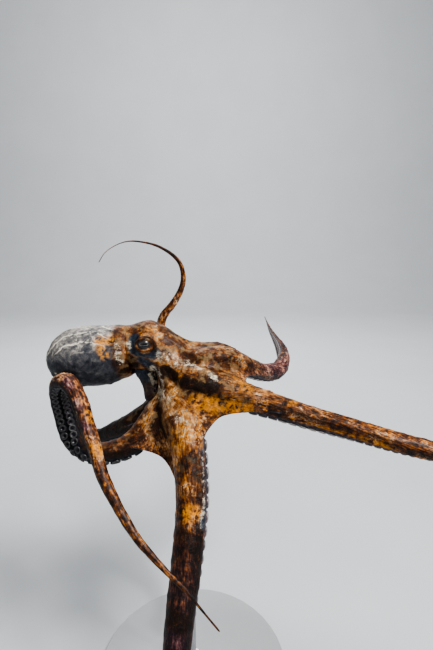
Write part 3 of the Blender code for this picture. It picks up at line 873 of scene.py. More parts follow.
STROKE_TABLE = {
    Mark.DARK: (
        # The blotch of two lobes over the web, and the broken stripe out along the arm
        (8, 1.0, (-20, -31, 18), (-11, -35, 15), (-5, -42, 13)),
        (9, 1.0, (6, -56, 11), (18, -62, 10), (31, -68, 9), (44, -70, 10)),
        (6, 0.35, (52, -73, 7), (71, -79, 4), (90, -84, 1)),
        (4, 0.45, (113, -92, -4), (137, -101, -8), (155, -110, -14), (181, -118, -16),
         (199, -124, -19), (219, -132, -23), (236, -139, -27), (255, -145, -30), (275, -150, -36)),
        (4, 0.6, (159, -104, -7), (164, -108, -9)),
        (4, 0.6, (182, -113, -10), (191, -117, -12)),
        # The collar's patches
        (8, 0.75, (-74, -31, 15), (-64, -27, 18), (-60, -23, 22)),
        (4, 0.6, (-86, -34, 31), (-84, -31, 19)),
        # Bands across the arm that hangs nearest
        (9, 0.4, (4, -131, -93), (19, -140, -92)),
        (9, 0.6, (8, -159, -124), (20, -167, -127)),
        (6, 0.6, (24, -172, -135), (27, -175, -145)),
        (10, 0.65, (1, -206, -184), (16, -213, -186)),
        (5, 0.4, (15, -120, -66), (18, -131, -78)),
        (9, 0.4, (6, -157, -123), (10, -178, -142)),
        # The fold between the web and the arm that loops round, painted dark as shade
        (5, 0.8, (-29, -38, -27), (-25, -49, -36), (-23, -56, -46), (-16, -66, -57)),
        # Both corners of the eye, painted dark as the shade beside its mound
        (6, 0.75, (-34, -31, 57), (-30, -34, 49), (-34, -37, 41)),
        (5, 0.5, (-56, -24, 62), (-58, -31, 52), (-54, -36, 44)),
    ),
    Mark.PALE: (
        # The rim of the grey flank of the arm that hangs nearest
        (4, 0.75, (31, -110, -55), (33, -122, -71), (35, -135, -88), (34, -147, -105),
         (31, -157, -118)),
        # Wrinkles down the neck, patches over the web, and pale spots on the arms and the collar
        # that are partly painted highlights
        (8, 0.9, (-36, -24, 18), (-34, -22, 0), (-26, -32, -16)),
        (8, 0.7, (-28, -29, 14), (-26, -34, -2), (-20, -44, -12)),
        (7, 0.95, (-41, -20, 14), (-37, -16, 0), (-31, -22, -12), (-24, -42, -16)),
        (8, 0.7, (-26, -29, 40), (-14, -29, 36), (-2, -31, 31), (8, -31, 28)),
        (6, 0.75, (8, -33, 27), (16, -39, 26), (26, -47, 26)),
        (6, 0.8, (40, -57, 22), (47, -64, 17)),
        (5, 0.7, (96, -79, 7), (100, -85, 1)),
        (5, 0.5, (144, -99, -4), (149, -103, -7)),
        (5, 0.5, (198, -119, -13), (205, -123, -15)),
        (8, 0.65, (-16, -52, -9), (-10, -66, -14), (-4, -77, -20), (2, -85, -27)),
        (5, 0.7, (8, -85, -24), (14, -88, -26)),
        (4, 0.7, (36, -80, -25), (43, -82, -28)),
        (5, 0.8, (-68, -24, 60), (-66, -26, 48)),
        (6, 0.8, (-81, -30, 52), (-79, -34, 40), (-76, -34, 30)),
        (4, 0.8, (-162, -30, 13)),
        # Between the eye and the crown, partly a painted highlight on the top of the eye's mound
        (4, 0.5, (-40, -26, 66), (-30, -26, 64), (-27, -29, 57)),
    ),
    Mark.SLATE: (
        # The flank beside the suckers of the arm that hangs nearest
        (6, 0.9, (33, -106, -57), (36, -115, -69), (38, -126, -82), (39, -132, -96),
         (37, -144, -107), (34, -154, -118)),
        # Round and below the eye and down the neck: painted blue-grey shade
        (9, 0.95, (-60, -24, 60), (-61, -29, 50), (-57, -34, 40), (-46, -38, 36)),
        (9, 0.8, (-46, -38, 36), (-35, -36, 36), (-30, -34, 42)),
        (11, 0.9, (-52, -33, 28), (-42, -31, 22), (-36, -27, 10)),
    ),
    Mark.GOLD: (
        # The gap in the blotch
        (4, 0.8, (-4, -47, 16), (2, -52, 14)),
        # Gold on the collar, the web and the arms, partly the skin's own colour and partly painted
        # highlights
        (7, 1.0, (-104, -26, 58), (-92, -26, 58)),
        (6, 0.9, (-102, -33, 49), (-96, -35, 40)),
        (12, 0.5, (25, -69, -10), (46, -74, -12), (67, -79, -13), (86, -83, -17)),
        (9, 0.5, (75, -49, 14), (84, -70, 12), (91, -76, 8)),
        (6, 0.8, (138, -91, 0)),
        (8, 0.8, (15, -151, -107), (24, -151, -106)),
        (6, 1.0, (-97, -110, -8), (-94, -112, -12)),
        (6, 1.0, (-85, -136, -34), (-80, -139, -40)),
        (6, 0.5, (82, -85, -24), (123, -97, -23), (166, -114, -27), (197, -125, -31),
         (237, -139, -36)),
    ),
    Mark.ROSE: (
        # Along the arms
        (6, 1.0, (-132, -81, 22), (-124, -89, 17)),
        (5, 1.0, (-115, -103, 4), (-110, -107, -1)),
        (5, 1.0, (-102, -120, -16), (-98, -123, -19)),
        (10, 1.0, (2, -220, -197), (12, -224, -199)),
    ),
    Mark.TONE: (
        # The lids above the eye, brightened partly as a painted highlight on the mound's top
        (9, 0.5, (-52, -22, 68), (-40, -22, 69), (-29, -24, 64)),
    ),
}
STROKES = [Stroke(mark, radius, places, strength) for mark, rows in STROKE_TABLE.items()
           for radius, strength, *places in rows]


@dataclass
class Skin:
    """The whole skin, as one closed mesh.

    Args:
        step: the usual distance between two points along the arms and over the webs.
        around: points over an arm's back, from web to web, and as many under it.
        between: points between two arms' roots in a loop round the crown.
        web_grid: points down and across the surface that a web's rows are taken from.
        web_rows: how many rows a web has, over those at the usual step.
        web_thinning: its thickness at its sides and its middle, over that of its seams.
        web_turn: how far from an arm it faces its own way.
        lid: half length, half height and shift up of the opening between the lids.
        lid_folds: height, place and spread of their rim, furrow and brow.
        folds: size and shift of the broad and the narrow wrinkles.
        nape: place, height and spread of the swelling over the crown's far side.
        collar_lip: behind the collar's place, how far it stands out and folds back.
        mouth_rows: radius and depth of the rows from the lip in.
        puckers: how many the lip has, and how deep.
        profile: behind the head's centre, how far the body reaches up, down and sideways.
    """

    step: float = 2.3
    around: int = 13
    between: int = 3
    web_grid: tuple[int, int] = (33, 41)
    web_rows: float = 0.74
    web_thinning: tuple[float, float] = (0.95, 0.7)
    web_turn: float = 12.0
    eye_radius: float = 10.5
    eye_distance: float = 33.5
    eye_tilt: float = 19.0
    eye_forward: float = -1.0
    mound: float = 8.0
    mound_spread: float = 13.5
    lid: Triple = (8.8, 6.0, -0.6)
    lid_reach: float = 19.0
    lid_folds: Table = ((0.8, 1.12, 0.16), (0.7, 1.42, 0.10), (0.4, 1.64, 0.12))
    folds: Table = ((9.0, 0.0), (4.2, 7.0))
    warts: int = 420
    wart_sizes: tuple[float, float] = (2.2, 4.4)
    wart_heights: tuple[float, float] = (0.25, 0.85)
    nape: tuple[Array, float, float] = (np.array([16.0, 30.0, 34.0]), 6.0, 22.0)
    collar_place: float = 24.0
    collar_step: float = 4.0
    collar_lip: Table = (
        (-0.8, -0.4, 1.5), (-0.5, -1.2, 4.5), (-0.2, -1.4, 7.5), (0.1, -0.4, 9.0),
        (0.4, 0.9, 8.0), (0.7, 1.6, 5.0), (1.0, 2.0, 2.0), (1.3, 2.7, -0.3),
        (1.6, 3.6, -1.0), (2.1, 4.4, -0.6), (2.9, 4.8, 0.0),
    )
    neck_rows: int = 24
    lip_rows: int = 8
    puckers: tuple[int, float] = (16, 0.08)
    mouth_rows: Table = ((10.5, 10.0), (8.0, 11.0), (5.5, 10.2), (3.6, 8.0), (2.4, 5.0))
    funnel: Table = ((-58, 0, 25), (-43, -4, -7), (-41, -8, -31))
    funnel_radii: Triple = (15.0, 13.0, 9.5)
    funnel_bore: tuple[float, float] = (6.5, 9.0)
    funnel_sides: int = 36
    profile: Table = (
        (0, 37, 35, 33), (12, 35, 32, 30), (24, 34, 28, 30), (34, 36, 34, 35), (50, 38, 40, 40),
        (70, 41, 42, 43), (90, 42, 40, 44), (110, 39, 37, 41), (124, 32, 31, 34),
        (134, 21, 21, 24), (139.5, 10, 10, 12), (141, 0, 0, 0),
    )
    weave: Weave = field(default_factory=Weave)

    def __post_init__(self) -> None:
        """Lays out the arms and the body's outline."""
        self.arms = [Arm(plan, order) for order, plan in enumerate(ARM_PLANS)]
        for i, arm in enumerate(self.arms):
            arm.meet(self.arms[i - 1], self.arms[(i + 1) % len(self.arms)])
        self.outline = smooth_curve([np.array(row, float) for row in self.profile])

    # Sections of the arms

    def halves(self, arm: Arm, s: float) -> tuple[Array, Array]:
        """The points over an arm's back and under it, both from the last arm's side to the next.

        Args:
            arm: the arm.
            s: the distance.

        Returns:
            Both rows of points.
        """
        place, _, back, side = arm.frame(s)
        wide, before, after, rise, top, low = arm.sizes(s)
        turn = np.linspace(0, math.pi, self.around)
        cosine, room = np.cos(turn), np.where(turn < math.pi / 2, before, after)
        x = -cosine * room
        z = top + (rise - top) * np.sin(turn) ** BUILD.back_fullness
        over = place + x[:, None] * side + z[:, None] * back
        x = -np.sign(cosine) * np.abs(cosine) ** BUILD.side_fullness * room
        flat = BUILD.sucker_side * wide
        z = low - (low + flat) * np.sin(turn) ** BUILD.sole_fullness
        keel = np.exp(-((x / (BUILD.keel_width * wide)) ** 2)) * np.sin(turn)
        z += BUILD.keel * wide * keel
        under = place + x[:, None] * side + z[:, None] * back
        return over, under

    def under_point(self, arm: Arm, s: float, across: float) -> Array:
        """The point under an arm at a share of its room, from -1 on the last arm's side to 1.

        Args:
            arm: the arm.
            s: the distance.
            across: -1 on the last arm's side to 1.

        Returns:
            The point.
        """
        turn = math.acos(-math.copysign(abs(across) ** (1 / BUILD.side_fullness), across)) / math.pi
        rows = self.halves(arm, s)[1]
        at = turn * (self.around - 1)
        low = min(int(at), self.around - 2)
        return mix(rows[low], rows[low + 1], at - low)

    def arm_marks(self, arm: Arm, s: float, oral: bool) -> dict[Mark, Any]:
        """What half a section of an arm carries.

        Args:
            arm: the arm.
            s: the distance.
            oral: whether it is the half below.

        Returns:
            A value, or one for each point, for each mark.
        """
        turn = np.linspace(0, 1, self.around)
        rim = np.minimum(turn, 1 - turn) * 2
        bright, rosy = arm.tone(s)
        across = (turn - 0.5) * math.pi * arm.half_width(s)
        return {
            Mark.ORAL: ease((rim - 0.12) / 0.3) if oral else 0.0,
            Mark.RUN: s,
            Mark.ROUND: across + (200 if oral else 0),
            Mark.TONE: bright,
            Mark.ROSE: 0.0 if oral else rosy,
            # the sucker side carries the arm's painted shade as a dark mark
            Mark.DARK: arm.plan.shade if oral else 0.0,
            Mark.SHARE: s / arm.length,
            Mark.CREASE: 1 - ease(rim / (0.2 if oral else 0.3)),
            Mark.ARM: float(self.arms.index(arm) + 1),
        }

    def stations(self, arm: Arm, index: int) -> tuple[Array, int, int, int]:
        """Distances of an arm's rings, with one at the crown's edge and at each web's end.

        Args:
            arm: the arm.
            index: its place in the ring.

        Returns:
            The distances, and the ring at the crown's edge and at the last and next web's end.
        """
        last = BUILD.crown_length + WEB_REACHES[index - 1][1] * BUILD.station
        following = BUILD.crown_length + WEB_REACHES[index][0] * BUILD.station
        stops = sorted({0.0, BUILD.crown_length, last, following, arm.length})
        made = [0.0]
        for low, high in zip(stops, stops[1:]):
            count = max(1, round((high - low) / self.step))
            made.extend(np.linspace(low, high, count + 1)[1:])
        distances = np.array(made)
        ends = (BUILD.crown_length, last, following)
        return distances, *(int(np.argmin(np.abs(distances - s))) for s in ends)

    # The crown, the arms and the webs

    def weave_crown(self) -> tuple[Array, Array]:
        """Loops round the crown over the arms' backs and under them.

        Returns:
            The first loop over the backs, which the head grows from, and the innermost one below.
        """
        self.rings: dict[bool, list[list[Array]]] = {
            oral: [[] for _ in self.arms] for oral in (False, True)
        }
        self.roots: dict[tuple[bool, int], Array] = {}
        self.plans = [self.stations(arm, i) for i, arm in enumerate(self.arms)]
        distances, edge = self.plans[0][:2]
        ends = []
        for oral, rings in ((False, range(edge + 1)), (True, range(edge, 1, -1))):
            loops = [self.crown_loop(float(distances[ring]), oral, ring == edge) for ring in rings]
            for low, high in zip(loops, loops[1:]):
                self.weave.strip(low, high, closed=True)
            ends += [loops[0], loops[-1]]
        return ends[0], ends[-1]

    def crown_loop(self, s: float, oral: bool, keep: bool) -> Array:
        """One loop round the crown, through every arm's half section.

        Args:
            s: the distance from the crown's ring.
            oral: whether it lies under the arms.
            keep: whether the arms and webs start from it.

        Returns:
            The loop.
        """
        halves = [self.halves(arm, s)[int(oral)] for arm in self.arms]
        loop = []
        for i, (arm, half) in enumerate(zip(self.arms, halves)):
            ids = self.weave.add(half, self.arm_marks(arm, s, oral))
            following = halves[(i + 1) % len(halves)]
            marks = {Mark.ORAL: float(oral), Mark.SHARE: s / arm.length, Mark.WEB: 0.5,
                     Mark.RUN: s}
            fill = self.weave.add(self.gap(half, following), marks)
            if keep:
                self.rings[oral][i].append(ids)
                self.roots[oral, i] = fill
            loop.extend([ids, fill])
        return np.concatenate(loop)

    def gap(self, row: Array, following: Array) -> Array:
        """The rows between the end of one arm's row and the start of the next arm's."""
        return mix(row[-1], following[0], np.linspace(0, 1, self.between + 2)[1:-1, None])

    def weave_arm(self, index: int) -> None:
        """One arm from the crown's edge to its tip. The webs leave its sides open to their ends.

        Args:
            index: the arm's place in the ring.
        """
        arm = self.arms[index]
        distances, crown_edge, last_end, next_end = self.plans[index]
        overs, unders = (self.rings[oral][index] for oral in (False, True))
        for ring in range(crown_edge + 1, len(distances)):
            s = float(distances[ring])
            for oral, half in enumerate(self.halves(arm, s)):
                loops = self.rings[bool(oral)][index]
                loops.append(self.weave.add(half, self.arm_marks(arm, s, bool(oral))))
                self.weave.strip(*loops[-2:])
            for end, column in ((last_end, 0), (next_end, -1)):
                if ring > end:
                    corners = (overs[-2][column], overs[-1][column])
                    self.weave.faces.append((*corners, unders[-1][column], unders[-2][column]))
        tip = self.weave.add(
            arm.line.point(arm.line.length) + 0.8 * arm.line.direction(arm.line.length),
            {Mark.SHARE: 1.0, Mark.ARM: float(index + 1)},
        )[0]
        self.weave.fan(np.concatenate([overs[-1], unders[-1][::-1]]), tip)

    def weave_web(self, index: int) -> None:
        """The two faces of the web between an arm and the next, and its free edge.

        Args:
            index: the arm's place in the ring.
        """
        following = (index + 1) % len(self.arms)
        middle, normal, half = self.web_sheet(index, following)
        reach = sum(WEB_REACHES[index]) / 2 * BUILD.station
        rows = max(4, round(self.web_rows * reach / self.step))
        counts = [self.between]
        for row in range(1, rows + 1):
            run = self.row_run(middle, row / rows)[1]
            counts.append(max(counts[-1], round(run[-1] / self.step) - 1))
        edges = []
        for oral in (False, True):
            surface = middle + (-1 if oral else 1) * normal * half[..., None]
            made = [self.roots[oral, index]]
            for row in range(1, rows + 1):
                made.append(self.web_row(surface, row / rows, oral, counts[row], index))
            for low, high in zip(made, made[1:]):
                (self.weave.strip if len(low) == len(high) else self.weave.lace)(low, high)
            seams = []
            for at, end, column in ((index, 3, -1), (following, 2, 0)):
                rings = range(self.plans[at][end] - self.plans[at][1] + 1)
                seams.append(np.array([self.rings[oral][at][ring][column] for ring in rings]))
                self.weave.lace(seams[-1], np.array([row[-1 - column] for row in made]))
            edges.append(np.concatenate([seams[0][-1:], made[-1], seams[1][-1:]]))
        self.weave.strip(*edges)

    def web_sheet(self, index: int, following: int) -> tuple[Array, ...]:
        """The web's middle surface, the way it faces and its half thickness, on an even grid.

        Args:
            index: the place in the ring of the arm before it.
            following: and of the arm after it.

        Returns:
            The points, their normals and the half thickness.
        """
        down = np.linspace(0, 1, self.web_grid[0])[:, None]
        share = np.linspace(0, 1, self.web_grid[1])[None, :]
        across = 4 * share * (1 - share)
        part = down * (1 - WEB_DIPS[index] * across**0.7)
        before, after = self.arms[index], self.arms[following]
        reaches = [reach * BUILD.station for reach in WEB_REACHES[index]]
        s1, s2 = (BUILD.crown_length + part * reach for reach in reaches)
        blend = (share + 0 * down)[..., None]
        backs = [arm.frame(s)[2] for arm, s in ((before, s1), (after, s2))]
        level = mix(before.edge(s1, 1), after.edge(s2, -1), blend)
        sag = BUILD.web_sag * across * np.minimum(1.0, part * 2)
        middle = level - sag[..., None] * unit(backs[0] + backs[1])
        half = mix(before.seam(s1)[1], after.seam(s2)[1], blend[..., 0])
        half = half * mix(*self.web_thinning, across)
        facing = unit(np.cross(np.gradient(middle, axis=1), np.gradient(middle, axis=0)))
        lean = unit(mix(backs[0], backs[1], blend))
        width = np.linalg.norm(middle[:, -1] - middle[:, 0], axis=1)[:, None] + 0 * share
        inward = ease(np.minimum(share, 1 - share) * width / self.web_turn)[..., None]
        normal = unit(mix(lean, facing, inward * ease(down * 3)[..., None]))
        return middle, normal, half

    def row_run(self, surface: Array, down: float) -> tuple[Array, Array]:
        """The points across a web at a share of the way down it, and the distance to each.

        Args:
            surface: the web's points.
            down: the share.

        Returns:
            The row and the distances.
        """
        place = down * (len(surface) - 1)
        low = min(int(place), len(surface) - 2)
        row = mix(surface[low], surface[low + 1], place - low)
        return row, run_along(row)

    def web_row(self, surface: Array, down: float, oral: bool, count: int, index: int) -> Array:
        """One row of evenly spaced points across a web, without its ends.

        Args:
            surface: the web's points.
            down: the share of the way down it.
            oral: whether it is the face below.
            count: how many points.
            index: the web's place in the ring.

        Returns:
            The row's numbers.
        """
        row, run = self.row_run(surface, down)
        at = np.linspace(0, run[-1], count + 2)[1:-1]
        share = at / run[-1]
        s = BUILD.crown_length + down * (sum(WEB_REACHES[index]) / 2 * BUILD.station)
        pair = (self.arms[index], self.arms[(index + 1) % len(self.arms)])
        bright, rosy = (mix(a, b, share) for a, b in zip(*(arm.tone(s) for arm in pair)))
        marks = {
            Mark.ORAL: float(oral),
            Mark.WEB: 1.0,
            Mark.SHARE: s / BUILD.web_scale,
            Mark.RUN: s,
            Mark.ROUND: at - run[-1] / 2,
            Mark.TONE: bright + WEB_TONES[index] * 4 * share * (1 - share),
            Mark.ROSE: rosy,
        }
        return self.weave.add(between(at, run, row), marks)

    # The head and the mantle

    def body_point(self, s: float, extra: float, angle: Array, belly: Array) -> Array:
        """Points round the body at a distance behind the head's centre.

        Args:
            s: the distance.
            extra: how far the points stand out below and at the sides.
            angle: 0 on the back and a quarter turn on the near side.
            belly: 0 where extra doesn't count, 1 where it does.

        Returns:
            One row for each angle.
        """
        high, low, wide = between(s, self.outline[:, 0], self.outline[:, 1:])
        place, along = SPINE.point(s), SPINE.direction(s)
        back = unit(UP - along * (UP @ along))
        lift = np.cos(angle)
        grow = extra * belly
        tall = mix(low, high, ease(lift * 2 + 0.5)) + grow
        across = (np.sin(angle) * (wide + grow))[:, None]
        return place + (lift * tall)[:, None] * back + across * NEAR

    def eye_way(self, side: int) -> Array:
        """Direction from the spine to the eye on the near (1) or far (-1) side."""
        tilt = math.radians(self.eye_tilt)
        return math.cos(tilt) * side * NEAR + math.sin(tilt) * UP

    def eye_axes(self, side: int) -> tuple[Array, Array, Array]:
        """Outwards, along the head (to the right) and up, for the eye on one side.

        Args:
            side: 1 for the near eye, -1 for the far one.

        Returns:
            Three directions.
        """
        out = self.eye_way(side)
        along = unit(RIGHT - out * (RIGHT @ out))
        up = np.cross(out, along) * (1 if np.cross(out, along) @ UP > 0 else -1)
        return out, along, up

    def eye_centre(self, side: int) -> Array:
        """The middle of an eyeball."""
        forward = self.eye_forward * RIGHT + self.eye_distance * self.eye_way(side)
        return SPINE.point(0.0) + forward

    def weave_body(self, ring: Array) -> None:
        """From the crown's first loop over the head and neck, round the collar and to the tip.

        Args:
            ring: that loop.
        """
        start = np.vstack(self.weave.points)[ring]
        ways = [unit(self.halves(arm, 0.0)[0] - self.halves(arm, 2.0)[0]) for arm in self.arms]
        pairs = zip(ways, ways[1:] + ways[:1])
        leave = unit(np.vstack([np.vstack([way, self.gap(way, after)]) for way, after in pairs]))
        angle = np.unwrap(np.arctan2(start @ NEAR_SIDE, start @ BACK_SIDE))
        share = np.arange(len(angle)) / len(angle) - 0.5
        even = angle.mean() + np.sign(angle[1] - angle[0]) * 2 * math.pi * share
        belly = self.belly(angle)
        head = self.body_point(0.0, 0.0, angle, belly)
        onward = SPINE.direction(0.0)
        span = np.linalg.norm(head - start, axis=1)[:, None]
        for row in range(1, self.neck_rows):
            t = row / self.neck_rows
            starts = (2 * t**3 - 3 * t**2 + 1) * start + (t**3 - 2 * t**2 + t) * span * leave
            ends = (3 * t**2 - 2 * t**3) * head + (t**3 - t**2) * span * onward
            marks = {
                Mark.BODY: ease((t - 0.15) / 0.7), Mark.SPINE: -0.6 * (1 - t), Mark.BELLY: belly
            }
            ring = self.weave.grow(ring, starts + ends, marks)
        for s, extra, fold in self.body_rows():
            turn = mix(angle, even, ease(s / 40))
            belly = self.belly(turn)
            points = self.body_point(s, extra, turn, belly)
            if fold:
                points = points + (fold * belly)[:, None] * SPINE.direction(s + fold * belly.mean())
            marks = {Mark.BODY: 1.0, Mark.SPINE: s / 100, Mark.BELLY: belly}
            ring = self.weave.grow(ring, points, marks)
        tip = SPINE.point(SPINE.length) + 0.7 * SPINE.direction(SPINE.length)
        self.weave.fan(ring, self.weave.add(tip, {Mark.BODY: 1.0, Mark.SPINE: 1.41})[0])

    def belly(self, angle: Array) -> Array:
        """0 on the body's back and 1 below, at some angles round it."""
        return ease((1 - np.cos(angle)) / 1.2)

    def body_rows(self) -> Iterable[Triple]:
        """Rows behind the head.

        Returns:
            For each: its distance, how far it stands out, and how far it folds back.
        """
        place = self.collar_place
        for s in np.arange(0.0, place - 1, 2.2):
            yield float(s), 0.0, 0.0
        for ahead, extra, fold in self.collar_lip:
            yield place + ahead, extra, fold
        tail = self.outline[self.outline[:, 0] > place + 4]
        run = run_along(tail[:, :2])
        for at in np.arange(0.0, run[-1] - 1.0, self.step):
            s = float(np.interp(at, run, tail[:, 0]))
            yield s, self.collar_step * (1.2 - 1.2 * float(ease((s - place) / 22))), 0.0

    def weave_mouth(self, ring: Array) -> None:
        """From the innermost loop under the crown in to the puckered lip and the mouth.

        Args:
            ring: that loop.
        """
        start = np.vstack(self.weave.points)[ring]
        flat = start - np.outer(start @ AXIS, AXIS)
        spoke = unit(flat)
        lip = BUILD.mouth_radius * spoke - 8 * AXIS
        turn = np.arctan2(flat @ NEAR_SIDE, flat @ BACK_SIDE)
        oral = {Mark.ORAL: 1.0}
        for t in np.arange(1, self.lip_rows + 1) / self.lip_rows:
            points = mix(start, lip, t) + 2.0 * math.sin(math.pi * t) * AXIS
            ring = self.weave.grow(ring, points, oral)
        count, depth = self.puckers
        pucker = 1 + depth * np.cos(count * turn)[:, None]
        for radius, depth in self.mouth_rows:
            ring = self.weave.grow(ring, radius * spoke * pucker - depth * AXIS, oral)
        self.weave.fan(ring, self.weave.add(-3.5 * AXIS, oral)[0])

    def weave_funnel(self) -> None:
        """The funnel: a short wrinkled tube with a rounded lip and an open bore."""
        line = Line([np.array(p, float) for p in self.funnel])
        bore, depth = self.funnel_bore
        wall = (self.funnel_radii[-1] - bore) / 2
        end = line.length - wall
        outline = [(s, float(np.interp(s / line.length, (0, 0.5, 1), self.funnel_radii)))
                   for s in np.arange(0.0, end, 1.9)]
        outline += [(end + wall * math.sin(turn), bore + wall + wall * math.cos(turn))
                    for turn in math.pi * np.arange(1, 8) / 8]
        outline += [(end - back, bore * (1 - 0.03 * back)) for back in np.arange(1.0, depth, 1.8)]
        turns = np.linspace(0, math.tau, self.funnel_sides, endpoint=False)
        plain = {Mark.BODY: 1.0, Mark.BELLY: 1.0}
        previous = None
        for s, radius in outline:
            along = line.direction(s)
            across = unit(np.cross(along, NEAR))
            over = np.cross(across, along)
            radius = radius * (1 + 0.035 * np.cos(9 * turns + 0.5 * s) + 0.02 * np.cos(1.4 * s))
            spokes = np.cos(turns)[:, None] * across + np.sin(turns)[:, None] * over
            inward = np.clip(spokes[:, 0] * 1.4, 0, 1)  # the side towards the arms is paler
            # The funnel lies in the head's shade: its dark and slate marks are painted shade,
            # growing darker towards its end
            funnel_painted_shade = float(np.interp(s / line.length, (0.25, 0.65), (0.15, 0.55)))
            marks = {Mark.BODY: 1.0, Mark.BELLY: 0.8, Mark.SPINE: 0.1, Mark.SLATE: 1.05 - funnel_painted_shade,
                     Mark.DARK: funnel_painted_shade * (1 - 0.8 * inward), Mark.PALE: 0.8 * inward}
            loop = self.weave.grow(previous, line.point(s) + radius[:, None] * spokes, marks)
            if previous is None:
                self.weave.fan(loop, self.weave.add(line.point(0.0), plain)[0])
            previous = loop
        self.weave.fan(previous, self.weave.add(line.point(outline[-1][0]), plain)[0])

    # Finishing the surface

    def raise_mounds(self, points: Array) -> Array:
        """Lifts the skin into low mounds round both eyes and over the crown's far side.

        Args:
            points: one row for each point of the skin.

        Returns:
            The new points.
        """
        raised = points.copy()
        for side in (1, -1):
            reach = apart(points, self.eye_centre(side))
            lift = self.mound * np.exp(-((reach / self.mound_spread) ** 2))
            raised += lift[:, None] * self.eye_way(side)
        centre, height, spread = self.nape
        reach = apart(points, centre)
        return raised + (height * np.exp(-((reach / spread) ** 2)))[:, None] * UP

    def part_lids(self, points: Array, body: Array) -> Array:
        """Draws the skin round each eyeball into lids, and behind it where the eye shows.

        Args:
            points: one row for each point of the skin.
            body: which of them may move.

        Returns:
            The new points.
        """
        made = points.copy()
        half_long, half_high, shift = self.lid
        for side in (1, -1):
            centre = self.eye_centre(side)
            out, along, up = self.eye_axes(side)
            offset = points - centre
            reach = np.linalg.norm(offset, axis=1)
            way = offset / reach[:, None]
            x = way @ along * self.eye_radius / half_long
            y = (way @ up * self.eye_radius - shift) / half_high
            round_eye = np.hypot(x, y)
            front = (way @ out > 0.2) & (reach < 30) & body
            rim, furrow, brow = (height * np.exp(-((round_eye - place) / spread) ** 2)
                                 for height, place, spread in self.lid_folds)
            lid = 1.1 + rim - furrow + brow * np.where(y > -0.3, 1, 0.3)
            near = 1 - ease((round_eye - 1.5) / 0.6)
            outside = np.maximum(reach, self.eye_radius + 0.9 + lid * near * 0.9)
            outside = np.where(round_eye < 1.9, outside, np.maximum(reach, outside - 0.2))
            opening = ease((round_eye - 0.90) / 0.13)
            depth = mix(0.82 * self.eye_radius, outside, opening)
            made[front] = (centre + way * depth[:, None])[front]
        return made

    def roughen(self, points: Array, normals: Array, marks: dict[Mark, Array]) -> Array:
        """Gives the surface its wrinkles and its low warts, which fade towards the eyes.

        Args:
            points: one row for each point of the skin.
            normals: the way it faces there.
            marks: what each point carries.

        Returns:
            The new points.
        """
        broad, narrow = (np.array([noise.noise(Vector(p / size + shift)) for p in points])
                         for size, shift in self.folds)
        oral, web, share = (marks[mark] for mark in (Mark.ORAL, Mark.WEB, Mark.SHARE))
        depth = mix(0.75, 0.35, oral) * mix(1.0, 0.5, web) * mix(1, 0.65, marks[Mark.BODY])
        fade = mix(1.0, 0.25, ease((share - 0.5) / 0.5) * (marks[Mark.ARM] > 0))
        lift = (broad + 0.55 * narrow) * depth * fade
        rng = np.random.default_rng(11)
        open_skin = np.flatnonzero((oral < 0.05) & (web < 0.6) & (share < 0.6))
        for index in rng.choice(open_skin, self.warts, replace=False):
            radius = rng.uniform(*self.wart_sizes)
            height = rng.uniform(*self.wart_heights) * (radius / 3.0)
            near = apart(points, points[index])
            close = near < 2.5 * radius
            lift[close] += height * np.exp(-((near[close] / radius) ** 2))
        for side in (1, -1):
            reach = apart(points, self.eye_centre(side))
            lift = lift * mix(0.15, 1.0, ease((reach - 14) / 14))
        return points + lift[:, None] * normals

    def build(self) -> Object:
        """Makes the skin's mesh and gives it its marks.

        Returns:
            The skin.
        """
        ring, inner = self.weave_crown()
        for weave in (self.weave_arm, self.weave_web):
            for index in range(len(self.arms)):
                weave(index)
        self.weave_body(ring)
        self.weave_mouth(inner)
        self.weave_funnel()
        points = np.vstack(self.weave.points)
        marks = {mark: np.concatenate(values) for mark, values in self.weave.marks.items()}
        head = (marks[Mark.BODY] > 0) | ((marks[Mark.RUN] < 60) & (marks[Mark.ORAL] == 0))
        points[head] = self.raise_mounds(points)[head]
        mesh = bpy.data.meshes.new("skin")
        mesh.from_pydata(points.tolist(), [], self.weave.faces)
        edges = np.empty(len(mesh.edges) * 2, np.int32)
        mesh.edges.foreach_get("vertices", edges)
        points = relax(points, edges.reshape(-1, 2), 0.25 + 0.3 * marks[Mark.CREASE], 5)
        mesh.vertices.foreach_set("co", points.astype(np.float32).ravel())
        for mark, values in marks.items():
            set_mark(mesh, mark.value, values)
        self.refine_lids(mesh)
        points, normals = read(mesh.vertices, "co", 3), read(mesh.vertices, "normal", 3)
        marks = {mark: read(mesh.attributes[mark.value].data, "value") for mark in Mark}
        for stroke in STROKES:
            cover = stroke.cover(points) * (1 - marks[Mark.ORAL])
            old = marks[stroke.mark]
            marks[stroke.mark] = np.where(cover > 0, np.maximum(old, cover), old)
        for mark, values in marks.items():
            mesh.attributes[mark.value].data.foreach_set("value", values.astype(np.float32))
        points = self.roughen(points, normals, marks)
        points = self.part_lids(points, marks[Mark.BODY] > 0.3)
        mesh.vertices.foreach_set("co", placed(points).astype(np.float32).ravel())
        mesh.update()
        return new_object("skin", mesh, SkinFinish().make())

    def refine_lids(self, mesh: Mesh) -> None:
        """Turns the faces outwards, and cuts them finer round the eyes.

        Args:
            mesh: the skin's mesh.
        """
        outwards(mesh)
        bm = bmesh.new()
        bm.from_mesh(mesh)
        for side in (1, -1):
            centre = Vector(self.eye_centre(side))
            chosen = {v for v in bm.verts if (v.co - centre).length < self.lid_reach}
            edges = [e for e in bm.edges if e.verts[0] in chosen and e.verts[1] in chosen]
            bmesh.ops.subdivide_edges(bm, edges=edges, cuts=3, use_grid_fill=True)
        open_edges = sum(1 for edge in bm.edges if not edge.is_manifold)
        log.info("skin: %d points, %d open edges", len(bm.verts), open_edges)
        bm.to_mesh(mesh)
        bm.free()
        mesh.update()


# --- Finishes ---


